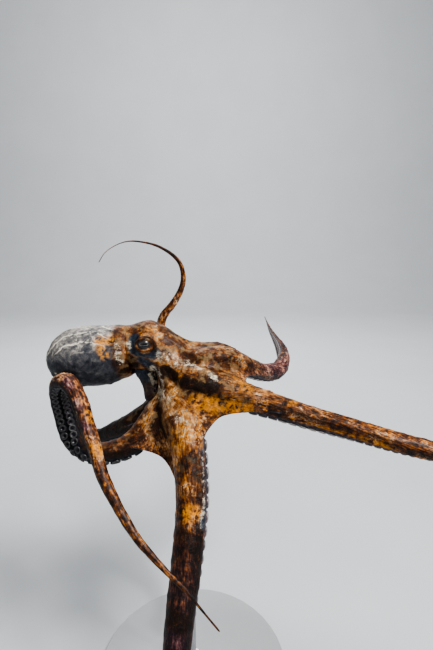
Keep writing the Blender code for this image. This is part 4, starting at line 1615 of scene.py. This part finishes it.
@dataclass(frozen=True)
class SkinFinish:
    """The mottled skin: brown and gold arms, a silver-grey mantle and a slate sucker side, with
    painted shade on the sucker side, the mantle's belly and the funnel.
    """

    gloss: float = 0.50
    wetness: float = 0.07
    coarse_scale: float = 36.0  # this and the other scales are features per metre
    fine_scale: float = 170.0
    grain_scale: float = 620.0
    net_scale: float = 180.0
    lump_scale: float = 105.0
    pimple_scale: float = 560.0
    arc_spacing: float = 0.0112
    arc_middle: Colour = (-0.128, 0.034, 0.508)
    body_middle: float = 0.007

    def make(self) -> Material:
        """Builds the material.

        Returns:
            The material.
        """
        shader = Shader("skin")
        mark = shader.mark
        body, oral, dark, pale = (mark(m) for m in (Mark.BODY, Mark.ORAL, Mark.DARK, Mark.PALE))
        flow = shader.warp(shader.place, 60.0, 0.010)
        coarse = shader.noise(flow, self.coarse_scale, 4.0)
        fine = shader.noise(flow, self.fine_scale, 5.0, 0.62)
        grain = shader.noise(shader.place, self.grain_scale, 3.0, 0.6)
        lines = {"X": mark(Mark.ROUND) * 0.42, "Y": mark(Mark.RUN) * 0.085, "Z": mark(Mark.ARM) * 7}
        fibres = shader.noise(shader.node("ShaderNodeCombineXYZ", None, lines), 1.0, 4.0, 0.6)
        pushed = shader.warp(shader.place, 190.0, 0.004)
        net = shader.cells(pushed, self.net_scale, "DISTANCE_TO_EDGE")

        arms = self._arms(shader, coarse, fine, fibres, net)
        mantle = self._mantle(shader, flow, coarse, fine)
        behind = mark(Mark.SPINE).ease(0.26, 0.62)
        greyness = body * (0.10 + 0.90 * behind) + (coarse - 0.5) * 0.9 * body
        upper = shader.blend(arms, mantle, greyness.ease(0.20, 0.70))
        # Slate grey, which round the eye, down the neck and on the funnel is painted shade
        slate = shader.ramp(
            fine * 0.8 + coarse * 0.2,
            (0.34, 0.005, 0.007, 0.012), (0.54, 0.028, 0.038, 0.054),
            (0.68, 0.10, 0.12, 0.14), (0.82, 0.34, 0.35, 0.35),
        )
        upper = shader.blend(upper, slate, (mark(Mark.SLATE) * (0.5 + coarse)).ease(0.15, 0.75))
        # Gold patches, partly painted highlights
        gilt = mark(Mark.GOLD) * fine.ease(0.38, 0.56) * 0.85
        upper = shader.blend(upper, (0.72, 0.27, 0.012), gilt)
        flecks = pale * 0.85 + (fine - 0.5) * 1.9 + (grain - 0.5) * 0.9 + (fibres - 0.5) * 0.5
        flecks = flecks.ease(0.50, 0.98) * pale.ease(0.0, 0.3)
        upper = shader.blend(upper, (0.74, 0.64, 0.48), flecks)
        upper = shader.blend(upper, (0.30, 0.28, 0.25), pale * net.ease(0.05, 0.35) * 0.35)
        # Dark markings, and painted shade where the dark mark stands for shadow: the funnel, beside
        # the eyes, the fold and the sucker side's edges
        shade = dark * 0.82 + (coarse - 0.5) * 0.9 + (fine - 0.5) * 1.7
        shade = shade.ease(0.25, 0.65) * dark.ease(0.0, 0.45)
        markings_and_painted_shade = shader.ramp(
            fine * 0.6 + grain * 0.4,
            (0.42, 0.004, 0.002, 0.0015), (0.56, 0.018, 0.007, 0.003),
            (0.68, 0.11, 0.04, 0.012),
        )
        upper = shader.blend(upper, markings_and_painted_shade, shade * 0.97)
        # The sucker side, kept dark as painted shade, and darker still in the crease and where the
        # arm's shade value paints it
        under = shader.ramp(
            fine * 0.7 + grain * 0.3 - mark(Mark.CREASE) * 0.08 - dark * 0.34,
            (0.22, 0.006, 0.006, 0.009), (0.46, 0.040, 0.036, 0.046),
            (0.60, 0.13, 0.115, 0.135), (0.78, 0.36, 0.32, 0.34),
        )
        colour = shader.blend(upper, under, oral)

        height = fine * 0.55 + fibres * 0.25 * (1 - body)
        normal = shader.bump(height, 0.0018, 0.9)
        pimples = shader.cells(shader.warp(shader.place, 300.0, 0.002), self.pimple_scale)
        normal = shader.bump((1 - pimples) * 0.6 + grain, 0.0005, 0.8, Normal=normal)
        rough = self.gloss + (fine - 0.5) * 0.25 + dark * 0.05
        return shader.finish(
            Base_Color=colour, Roughness=rough, Normal=normal,
            Coat_Weight=(1 - dark) * self.wetness, Coat_Roughness=0.25, Specular_IOR_Level=0.16,
        )

    def _arms(self, shader: Shader, coarse: Signal, fine: Signal, fibres: Signal,
              net: Signal) -> Signal:
        """Brown, orange and gold in patches and fibres, with cream dashes that are partly painted
        caustic light.

        Args:
            shader: the skin's nodes.
            coarse: broad patches.
            fine: small ones.
            fibres: streaks along the arms.
            net: distance from a net's threads.

        Returns:
            The colour.
        """
        mark = shader.mark
        bright = mark(Mark.TONE)
        outer = mark(Mark.SHARE).ease(0.10, 0.45)
        tone = 0.45 + (coarse - 0.5) * (1.15 - outer * 0.75) + (fine - 0.5) * 1.05
        tone = tone + (fibres - 0.5) * (0.85 + outer * 0.35)
        # darker in the fold along each side as painted shade in the crease, and brighter under the
        # gold marks, partly painted highlights
        tone = tone + bright * 0.34 - mark(Mark.CREASE) * 0.12 + mark(Mark.GOLD) * 0.08
        warm = shader.ramp(
            tone,
            (0.15, 0.006, 0.003, 0.002), (0.32, 0.032, 0.010, 0.004),
            (0.45, 0.11, 0.032, 0.006), (0.56, 0.29, 0.095, 0.013),
            (0.67, 0.50, 0.18, 0.020), (0.79, 0.66, 0.29, 0.045),
            (0.90, 0.74, 0.42, 0.12), (1.0, 0.80, 0.60, 0.32),
        )
        mauve = shader.ramp(
            tone,
            (0.18, 0.014, 0.006, 0.009), (0.42, 0.09, 0.036, 0.042),
            (0.60, 0.34, 0.17, 0.15), (0.85, 0.74, 0.56, 0.48),
        )
        warm = shader.blend(warm, mauve, mark(Mark.ROSE) * 0.85)
        inner = mark(Mark.SHARE).ease(0.24, 0.04)
        lumps = shader.noise(shader.warp(shader.place, 90.0, 0.006), self.lump_scale, 3.0, 0.5)
        warm = shader.blend(warm, (0.34, 0.21, 0.09), lumps.ease(0.48, 0.62) * inner * 0.5)
        # dark lines along the net and between the lumps: painted shade in the skin's small folds
        folds = (net.ease(0.10, 0.0) + lumps.ease(0.50, 0.40)) * (fine + 0.1).ease(0.4, 0.7)
        warm = shader.blend(warm, (0.040, 0.013, 0.004), folds * inner * 0.75)
        # cream dashes along the net: partly skin pattern, partly painted caustic light, kept to the
        # brighter places
        dashes = net.ease(0.16, 0.03) * coarse.ease(0.50, 0.62) * (fine + fibres).ease(0.9, 1.1)
        dashes = dashes * (1 - mark(Mark.DARK)) * bright.ease(-0.4, 0.1)
        return shader.blend(warm, (0.80, 0.68, 0.48), dashes * 0.5)

    def _mantle(self, shader: Shader, flow: Signal, coarse: Signal, fine: Signal) -> Signal:
        """Silver grey with pale arcs round the middle of each side, partly painted caustic light,
        and a belly painted darker as shade.

        Args:
            shader: the skin's nodes.
            flow: the swirled place.
            coarse: broad patches.
            fine: small ones.

        Returns:
            The colour.
        """
        belly = shader.mark(Mark.BELLY)
        # darker on the belly: painted shade on the mantle's underside
        grey = shader.ramp(
            0.56 + (coarse - 0.5) * 0.8 + (fine - 0.5) * 0.9 - belly * 0.36,
            (0.12, 0.018, 0.020, 0.026), (0.30, 0.055, 0.056, 0.064),
            (0.44, 0.125, 0.118, 0.114), (0.57, 0.26, 0.235, 0.21),
            (0.72, 0.45, 0.41, 0.37), (0.90, 0.72, 0.68, 0.62),
        )
        parts = [shader.node("ShaderNodeSeparateXYZ", None, {0: flow}, axis) for axis in "XYZ"]
        side = (parts[1] - self.body_middle).wave("ABSOLUTE")
        folded = {"X": parts[0], "Y": side, "Z": parts[2]}
        middle = {0: shader.node("ShaderNodeCombineXYZ", None, folded), 1: self.arc_middle}
        reach = shader.node("ShaderNodeVectorMath", {"operation": "DISTANCE"}, middle, "Value")
        # pale arcs and a net over the top: partly skin pattern, partly painted caustic light, kept
        # off the shaded belly
        wave = ((reach + coarse * 0.006) * (math.tau / self.arc_spacing)).wave("COSINE")
        arcs = wave.ease(0.87, 0.98) * belly.ease(0.62, 0.25) * (fine + coarse).ease(0.80, 1.02)
        net = shader.cells(flow, 78.0, "DISTANCE_TO_EDGE").ease(0.09, 0.02)
        threads = (arcs * 0.9).at_least(net * belly.ease(0.60, 0.20) * fine.ease(0.48, 0.6) * 0.4)
        return shader.blend(grey, (0.84, 0.76, 0.62), threads)


@dataclass(frozen=True)
class SuckerFinish:
    """Slate cups with a pale rim, painted darker as shade on the shaded sucker sides and in the
    hollow at the middle.
    """

    gloss: float = 0.42

    def make(self) -> Material:
        """Builds the material.

        Returns:
            The material.
        """
        shader = Shader("sucker")
        across, shade = shader.mark("cup"), shader.mark("shade")
        fine = shader.noise(shader.place, 420.0, 4.0, 0.6)
        # the flesh and the pale rim are darkened by the arm's shade value: painted shade
        flesh = shader.ramp(
            fine + (shader.mark("tone") - 0.5) * 0.3 - shade * 0.42,
            (0.20, 0.008, 0.007, 0.009), (0.5, 0.075, 0.062, 0.070), (0.8, 0.32, 0.27, 0.28),
        )
        rim = across.ease(0.34, 0.50) * across.ease(0.72, 0.60)
        rim = rim * (0.40 + fine * 0.6) * (1 - shade * 0.95)
        colour = shader.blend(flesh, (0.56, 0.49, 0.47), rim)
        # the hollow at the middle is painted near black as shade
        colour = shader.blend(colour, (0.012, 0.009, 0.010), across.ease(0.80, 0.93) * 0.85)
        creases = shader.cells(shader.place, 900.0)
        normal = shader.bump(fine + creases * 0.5, 0.0005, 0.7)
        return shader.finish(
            Base_Color=colour, Roughness=self.gloss + (fine - 0.5) * 0.2, Normal=normal,
            Coat_Weight=0.12, Coat_Roughness=0.2,
        )


@dataclass(frozen=True)
class EyeFinish:
    """A dark slate iris flecked with gold, round a black slit, under a wet cornea; the iris is kept
    dark partly as painted shade from the lids, darkest at its rim.
    """

    def make(self) -> Material:
        """Builds the material.

        Returns:
            The material.
        """
        shader = Shader("eye")
        slit, ring = shader.mark("slit"), shader.mark("ring")
        fine = shader.noise(shader.warp(shader.place, 400.0, 0.001), 900.0, 4.0, 0.65)
        iris = shader.ramp(
            fine,
            (0.32, 0.004, 0.005, 0.006), (0.50, 0.014, 0.016, 0.019),
            (0.66, 0.05, 0.05, 0.048), (0.80, 0.18, 0.12, 0.05),
        )
        edge = slit.ease(0.15, 0.45) * slit.ease(0.75, 0.5) * 0.3
        iris = shader.blend(iris, (0.26, 0.20, 0.12), edge)
        colour = shader.blend(iris, (0.004, 0.004, 0.005), slit.ease(0.52, 0.70))
        # darker towards the iris's rim: painted shade under the lids
        colour = shader.blend(colour, (0.03, 0.022, 0.02), ring.ease(0.72, 1.0) * 0.85)
        normal = shader.bump(fine, 0.00015, 0.5)
        return shader.finish(
            Base_Color=colour, Roughness=0.32 - slit.ease(0.5, 0.7) * 0.12, Normal=normal,
            Coat_Weight=0.5, Coat_Roughness=0.06, Specular_IOR_Level=0.3,
        )


@dataclass(frozen=True)
class PaintFinish:
    """Satin pale grey paint on steel."""

    colour: Colour = (0.47, 0.48, 0.48)

    def make(self) -> Material:
        """Builds the material.

        Returns:
            The material.
        """
        shader = Shader("base_paint")
        cloud = shader.noise(shader.place, 9.0, 4.0)
        speck = shader.noise(shader.place, 2600.0, 2.0)
        peel = shader.noise(shader.place, 700.0, 2.0)
        dust = shader.noise(shader.warp(shader.place, 20.0, 0.02), 60.0, 5.0, 0.7).ease(0.56, 0.75)
        colour = shader.blend(self.colour, (0.41, 0.42, 0.43), cloud.ease(0.35, 0.65) * 0.5)
        colour = shader.blend(colour, (0.58, 0.58, 0.56), dust * 0.25)
        colour = shader.blend(colour, (0.34, 0.35, 0.36), speck.ease(0.62, 0.72) * 0.35)
        rough = 0.40 + (cloud - 0.5) * 0.12 + dust * 0.16
        normal = shader.bump(peel + speck * 0.3, 0.00012, 0.6)
        return shader.finish(
            Base_Color=colour, Roughness=rough, Normal=normal, Coat_Weight=0.12, Coat_Roughness=0.3
        )


@dataclass(frozen=True)
class SteelFinish:
    """Steel brushed along the rod or round the collar.

    Args:
        name: the material's name.
        grain: how the brush lines are scaled along each axis.
    """

    name: str
    grain: Colour

    def make(self) -> Material:
        """Builds the material.

        Returns:
            The material.
        """
        shader = Shader(self.name)
        inputs = {"Vector": shader.place, "Scale": self.grain}
        brushed = shader.noise(shader.node("ShaderNodeMapping", None, inputs), 1.0, 4.0, 0.65)
        cloud = shader.noise(shader.place, 30.0, 3.0)
        colour = shader.ramp(
            brushed * 0.7 + cloud * 0.3,
            (0.30, 0.36, 0.36, 0.37), (0.55, 0.52, 0.53, 0.54), (0.75, 0.64, 0.64, 0.64),
        )
        rough = 0.26 + (brushed - 0.5) * 0.22 + (cloud - 0.5) * 0.10
        normal = shader.bump(brushed, 0.00006, 0.6)
        return shader.finish(Base_Color=colour, Roughness=rough, Normal=normal, Metallic=1.0)


@dataclass(frozen=True)
class StageFinish:
    """A matt pale sheet under and behind the model."""

    colour: Colour = (0.70, 0.71, 0.72)

    def make(self) -> Material:
        """Builds the material.

        Returns:
            The material.
        """
        shader = Shader("stage_paper")
        cloud = shader.noise(shader.place, 3.0, 4.0)
        tooth = shader.noise(shader.place, 900.0, 2.0)
        colour = shader.blend(self.colour, (0.66, 0.67, 0.685), cloud.ease(0.3, 0.7) * 0.6)
        return shader.finish(
            Base_Color=colour, Roughness=0.85 + (cloud - 0.5) * 0.1,
            Normal=shader.bump(tooth, 0.0001, 0.3),
        )


# --- Eyes, suckers and the stand ---


@dataclass
class Eye:
    """One eyeball with a sunk slit pupil.

    Args:
        side: 1 for the near eye, -1 for the far one.
        skin: the skin that it sits in.
        slit: half length and half height of the pupil.
    """

    side: int
    skin: Skin
    slit: tuple[float, float] = (5.2, 1.7)
    slit_depth: float = 1.1
    iris: tuple[float, float] = (8.4, 6.0)
    rings: int = 56
    turns: int = 84

    def build(self) -> Object:
        """Makes the eyeball, with its pole at the middle of the pupil.

        Returns:
            The eyeball.
        """
        centre = self.skin.eye_centre(self.side)
        out, along, up = self.skin.eye_axes(self.side)
        radius = self.skin.eye_radius
        polar = np.linspace(0, math.pi, self.rings + 1)[1:-1, None]
        around = np.linspace(0, 2 * math.pi, self.turns, endpoint=False)[None, :]
        rims = (np.sin(polar) * np.cos(around), np.sin(polar) * np.sin(around),
                np.cos(polar) + 0 * around)
        x, y, z = (np.concatenate([[pole], v.ravel() * radius, [-pole]])
                   for pole, v in zip((0.0, 0.0, radius), rims))
        half_long, half_high = self.slit
        distance = np.hypot(np.abs(x / half_long) ** 1.6, np.abs(y / half_high) ** 1.6)
        slit = np.where(z > 0, 1 - ease(distance / 1.9), 0.0)
        ring = np.hypot(x / self.iris[0], y / self.iris[1])
        sink = 1 - self.slit_depth / radius * ease((slit - 0.35) / 0.4)
        spokes = x[:, None] * along + y[:, None] * up + z[:, None] * out
        points = centre + sink[:, None] * spokes
        weave = Weave()
        numbers = weave.add(points)
        rows = numbers[1:-1].reshape(-1, self.turns)
        for low_row, high_row in zip(rows, rows[1:]):
            weave.strip(low_row, high_row, closed=True)
        weave.fan(rows[0], numbers[0])
        weave.fan(rows[-1], numbers[-1])
        mesh = bpy.data.meshes.new("eyeball")
        mesh.from_pydata(placed(points).tolist(), [], weave.faces)
        set_mark(mesh, "slit", slit)
        set_mark(mesh, "ring", np.where(z > 0, ring, 2.0))
        outwards(mesh)
        name = "eyeball_right" if self.side > 0 else "eyeball_left"
        return new_object(name, mesh, EyeFinish().make())


@dataclass
class Suckers:
    """Two staggered rows of cups along the sucker side of one arm.

    Args:
        skin: the skin that they grow from.
        arm: the arm.
        size: their diameter over the arm's half width.
        row: each row's distance from the middle, over the room to that side.
        pitch: from one cup to the next in a row, over the diameter.
        lean: how far a cup turns to its side.
        large: the least diameter of a cup of the finer pattern.
    """

    skin: Skin
    arm: Arm
    size: float = 0.72
    row: float = 0.42
    pitch: float = 1.04
    lean: float = 0.30
    sink: float = 0.10
    large: float = 4.5
    smallest: float = 0.9
    start: float = 6.0
    end: float = 4.0

    def places(self) -> tuple[Array, Array, Array]:
        """Where each cup sits, the way it faces and its diameter.

        Returns:
            One row for each cup, in three arrays.
        """
        made = []
        s, side = self.start, 1
        while s < self.arm.length - self.end:
            width = self.size * float(self.arm.half_width(s)) * mix(0.5, 1.0, float(ease(s / 60)))
            if width < self.smallest:
                break
            _, _, back, across = self.arm.frame(s)
            way = unit(self.lean * side * across - back)
            foot = self.skin.under_point(self.arm, s, side * self.row)
            made.append((foot - self.sink * width * way, way, width))
            s += self.pitch * width / 2
            side = -side
        return tuple(np.array(column) for column in zip(*made))

    def build(self, tree: bpy.types.NodeTree) -> Object:
        """Runs the tree on the places, and keeps the plain mesh that it makes.

        Args:
            tree: the tree.

        Returns:
            The cups.
        """
        points, ways, sizes = self.places()
        seeds = bpy.data.meshes.new("sucker_places")
        seeds.from_pydata(placed(points).tolist(), [], [])
        set_mark(seeds, "way", ways)
        set_mark(seeds, "size", sizes * MM)
        set_mark(seeds, "tone", np.random.default_rng(len(points)).random(len(points)))
        # how dark each cup is painted as shade, from its arm's plan
        set_mark(seeds, "shade", np.full(len(points), self.arm.plan.shade))
        carrier = bpy.data.objects.new("sucker_places", seeds)
        bpy.context.scene.collection.objects.link(carrier)
        modifier = carrier.modifiers.new("cups", "NODES")
        modifier.node_group = tree
        sockets = {item.name: item.identifier for item in tree.interface.items_tree}
        modifier[sockets["Large from"]] = self.large * MM
        graph = bpy.context.evaluated_depsgraph_get()
        mesh = bpy.data.meshes.new_from_object(carrier.evaluated_get(graph))
        bpy.data.objects.remove(carrier)
        return new_object(f"suckers_{self.arm.plan.name}", mesh, mesh.materials[0])


@dataclass(frozen=True)
class Cup:
    """The outline that is turned into a cup, of diameter one, from its foot over the rim and in.

    Args:
        sides: faces round it.
        rows: faces from the foot to the middle.
        outline: at some shares of the way, how far out and how high it is.
    """

    sides: int
    rows: int
    outline: Table = (
        (0.0, 0.0, 0.05), (0.13, 0.40, 0.08), (0.28, 0.44, 0.40), (0.43, 0.50, 0.55),
        (0.57, 0.42, 0.63), (0.71, 0.25, 0.50), (0.86, 0.13, 0.36), (1.0, 0.0, 0.26),
    )
    foot: float = 0.33

    def grow(self, graph: Graph) -> Signal:
        """Adds the nodes that turn the outline about the cup's own axis.

        Args:
            graph: where they go.

        Returns:
            The cup's geometry.
        """
        counts = {"Size X": 1.0, "Size Y": 1.0, "Vertices X": self.sides + 1,
                  "Vertices Y": self.rows + 1}
        sheet = graph.node("GeometryNodeMeshGrid", None, counts)
        place = graph.node("GeometryNodeInputPosition")
        turn = graph.node("ShaderNodeSeparateXYZ", None, {0: place}, "X") * math.tau
        down = graph.node("ShaderNodeSeparateXYZ", None, {0: place}, "Y") + 0.5
        shares, *columns = zip(*self.outline)
        curves = [{"curve": list(zip(shares, column))} for column in columns]
        radius, height = (graph.node("ShaderNodeFloatCurve", curve, {"Value": down})
                          for curve in curves)
        parts = {"X": radius * turn.wave("COSINE"), "Y": radius * turn.wave("SINE"),
                 "Z": height - self.foot}
        named = {"Geometry": sheet, "Name": "cup", "Value": down}
        sheet = graph.node("GeometryNodeStoreNamedAttribute", None, named)
        bent = graph.node("ShaderNodeCombineXYZ", None, parts)
        turned = graph.node("GeometryNodeSetPosition", None, {"Geometry": sheet, "Position": bent})
        merge = {"Geometry": turned, "Distance": 0.004}
        return graph.node("GeometryNodeMergeByDistance", None, merge)


def sucker_tree(material: Material) -> bpy.types.NodeTree:
    """The tree that puts a cup on every place, finer where it is large.

    Args:
        material: the cups' finish.

    Returns:
        The tree.
    """
    tree = bpy.data.node_groups.new("sucker_rows", "GeometryNodeTree")
    graph = Graph(tree)
    for name, way, kind in (("Places", "INPUT", "Geometry"), ("Large from", "INPUT", "Float"),
                            ("Geometry", "OUTPUT", "Geometry")):
        tree.interface.new_socket(name, in_out=way, socket_type=f"NodeSocket{kind}")
    places = graph.node("NodeGroupInput", output="Places")
    large_from = graph.also(places, "Large from")
    size, way = (graph.node("GeometryNodeInputNamedAttribute", {"data_type": kind}, {"Name": name})
                 for kind, name in (("FLOAT", "size"), ("FLOAT_VECTOR", "way")))
    turn = graph.node("FunctionNodeAlignRotationToVector", {"axis": "Z"}, {"Vector": way})
    large = size.above(large_from)
    joined = tree.nodes.new("GeometryNodeJoinGeometry")
    for cup, chosen in ((Cup(12, 7), large), (Cup(8, 5), 1 - large)):
        inputs = {"Points": places, "Selection": chosen, "Instance": cup.grow(graph),
                  "Rotation": turn, "Scale": size}
        cups = graph.node("GeometryNodeInstanceOnPoints", None, inputs)
        tree.links.new(cups.socket, joined.inputs[0])
    whole = graph.node("GeometryNodeRealizeInstances", None, {0: Signal(graph, joined.outputs[0])})
    smooth = graph.node("GeometryNodeSetShadeSmooth", None, {"Geometry": whole})
    done = graph.node("GeometryNodeSetMaterial", None, {"Geometry": smooth, "Material": material})
    graph.node("NodeGroupOutput", None, {"Geometry": done})
    return tree


@dataclass
class Stand:
    """The finishes of the stand, and the set screw that holds the rod in the collar."""

    screw_radius: float = 2.5
    screw_height: float = 7.3
    screw_end: float = 0.6  # how far it stands out of the collar
    screw_edge: float = 0.35
    screw_sides: int = 24
    socket_radius: float = 1.35
    socket_depth: float = 1.6

    def dress(self) -> None:
        """Gives each CAD piece its finish."""
        finishes = {
            "stand_base": PaintFinish(),
            "stand_collar": SteelFinish("collar_steel", (260.0, 260.0, 5200.0)),
            "stand_rod": SteelFinish("rod_steel", (3600.0, 3600.0, 26.0)),
        }
        for name, finish in finishes.items():
            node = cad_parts[name]
            material = finish.make()
            for slot in node.material_slots:
                slot.material = material
            log.info("%s: %s", name, material.name)

    def screw(self) -> Object:
        """A headless screw with a six-sided socket, in the collar's near side.

        Returns:
            The screw.
        """
        low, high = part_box("stand_collar")
        face = (high[0] - low[0]) / 2 / MM
        height = low[2] / MM + self.screw_height
        turn = np.arange(self.screw_sides) * math.tau / self.screw_sides
        six_sided = math.cos(math.pi / 6) / np.cos(turn % (math.pi / 3) - math.pi / 6)
        end = face + self.screw_end
        rings = (
            (face - 3.0, self.screw_radius, 1.0), (end - self.screw_edge, self.screw_radius, 1.0),
            (end, self.screw_radius - self.screw_edge, 1.0), (end, self.socket_radius, six_sided),
            (end - self.socket_depth, self.socket_radius, six_sided),
        )
        weave = Weave()
        ends = []
        previous = None
        for depth, wide, outline in rings:
            across = wide * outline * np.stack([np.cos(turn), np.sin(turn)])
            points = np.stack([across[0], np.full(len(turn), -depth), height + across[1]], axis=1)
            previous = weave.grow(previous, points, {})
            ends.append(tuple(previous))
        weave.faces += [ends[0], ends[-1]]
        mesh = bpy.data.meshes.new("set_screw")
        mesh.from_pydata((np.vstack(weave.points) * MM).tolist(), [], weave.faces)
        outwards(mesh)
        made = new_object("stand_set_screw", mesh, SteelFinish("screw_steel", (900.0,) * 3).make())
        mesh.set_sharp_from_angle(angle=math.radians(40))
        return made


# --- The studio ---


@dataclass
class Studio:
    """The floor with a backdrop, the lights and the camera.

    Args:
        lens: the camera's focal length in millimetres.
        pitch: how far it looks down, in degrees.
        camera_place: where it stands, in metres.
        lamps: each light's name, place, target, size and power.
    """

    lens: float = 24.0
    sensor: float = 36.0
    clip_start: float = 0.02
    pitch: float = 12.0
    camera_place: Triple = (0.038, -0.574, 0.694)
    lamps: tuple[tuple[str, Colour, Colour, float, float], ...] = (
        ("key", (0.75, -0.65, 2.0), (0.02, -0.02, 0.47), 0.55, 50.0),
        ("fill", (-1.9, -1.7, 1.1), (0.0, 0.0, 0.45), 1.8, 6.0),
        ("rim", (-0.5, 1.9, 1.9), (0.0, 0.1, 0.5), 1.2, 18.0),
        ("backdrop", (0.0, 1.6, 2.6), (0.0, 4.2, 1.2), 2.4, 70.0),
    )
    sky: Colour = (0.80, 0.86, 0.92)
    sky_strength: float = 0.34
    half_floor: float = 6.0
    wall_start: float = 3.2
    wall_turn: float = 1.2
    wall_top: float = 5.0
    curve_steps: int = 12

    def build(self) -> None:
        """Sets all of it up."""
        self._camera()
        self._stage()
        for name, place, target, size, power in self.lamps:
            light = bpy.data.lights.new(name, "AREA")
            light.energy, light.size = power, size
            lamp = bpy.data.objects.new(name, light)
            way = Vector(target) - Vector(place)
            turn = way.to_track_quat("-Z", "Y").to_matrix().to_4x4()
            lamp.matrix_world = Matrix.Translation(place) @ turn
            bpy.context.scene.collection.objects.link(lamp)
        world = bpy.data.worlds.new("studio")
        bpy.context.scene.world = world
        world.use_nodes = True
        sky = world.node_tree.nodes["Background"]
        sky.inputs["Color"].default_value = (*self.sky, 1)
        sky.inputs["Strength"].default_value = self.sky_strength
        bpy.context.scene.view_settings.look = "AgX - Medium High Contrast"

    def _camera(self) -> None:
        """The camera, level from side to side and pitched down."""
        data = bpy.data.cameras.new("camera")
        data.lens, data.sensor_width, data.clip_start = self.lens, self.sensor, self.clip_start
        camera = bpy.data.objects.new("camera", data)
        turn = Matrix.Rotation(math.radians(90 - self.pitch), 4, "X")
        camera.matrix_world = Matrix.Translation(self.camera_place) @ turn
        bpy.context.scene.collection.objects.link(camera)
        bpy.context.scene.camera = camera

    def _stage(self) -> None:
        """A floor that curves up into a backdrop."""
        wide = self.half_floor
        run = [(-wide, 0.0), (0.0, 0.0), (self.wall_start, 0.0)]
        for step in range(1, self.curve_steps + 1):
            turn = math.pi / 2 * step / self.curve_steps
            run.append((self.wall_start + self.wall_turn * math.sin(turn),
                        self.wall_turn * (1 - math.cos(turn))))
        run.append((self.wall_start + self.wall_turn, self.wall_top))
        points = [(x, y, z) for y, z in run for x in (-wide, wide)]
        faces = [(2 * i, 2 * i + 1, 2 * i + 3, 2 * i + 2) for i in range(len(run) - 1)]
        mesh = bpy.data.meshes.new("floor")
        mesh.from_pydata(points, [], faces)
        new_object("floor", mesh, StageFinish().make())


def settle(piece: Object, slot: str, *nodes: str) -> None:
    """Rides a piece on the body, hides the CAD pieces it takes the place of, and reports it.

    Args:
        piece: the piece.
        slot: not used.
        nodes: the CAD pieces that it takes the place of.
    """
    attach(piece, "root")
    if nodes:
        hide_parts(*nodes)
    log.info("%s: %d faces", piece.name, len(piece.data.polygons))


def main() -> None:
    """Builds every piece in turn."""
    logging.basicConfig(level=logging.INFO, format="%(message)s")
    skin = Skin()
    flesh = [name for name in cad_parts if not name.startswith(("stand_", "eye_"))]
    settle(skin.build(), "arm_skin", *flesh)
    for side, node in ((1, "eye_right"), (-1, "eye_left")):
        settle(Eye(side, skin).build(), "eye", node)
    tree = sucker_tree(SuckerFinish().make())
    for arm in skin.arms:
        settle(Suckers(skin, arm).build(tree), "arm_skin")
    stand = Stand()
    stand.dress()
    settle(stand.screw(), "steel")
    Studio().build()


if __name__ == "__main__":
    main()
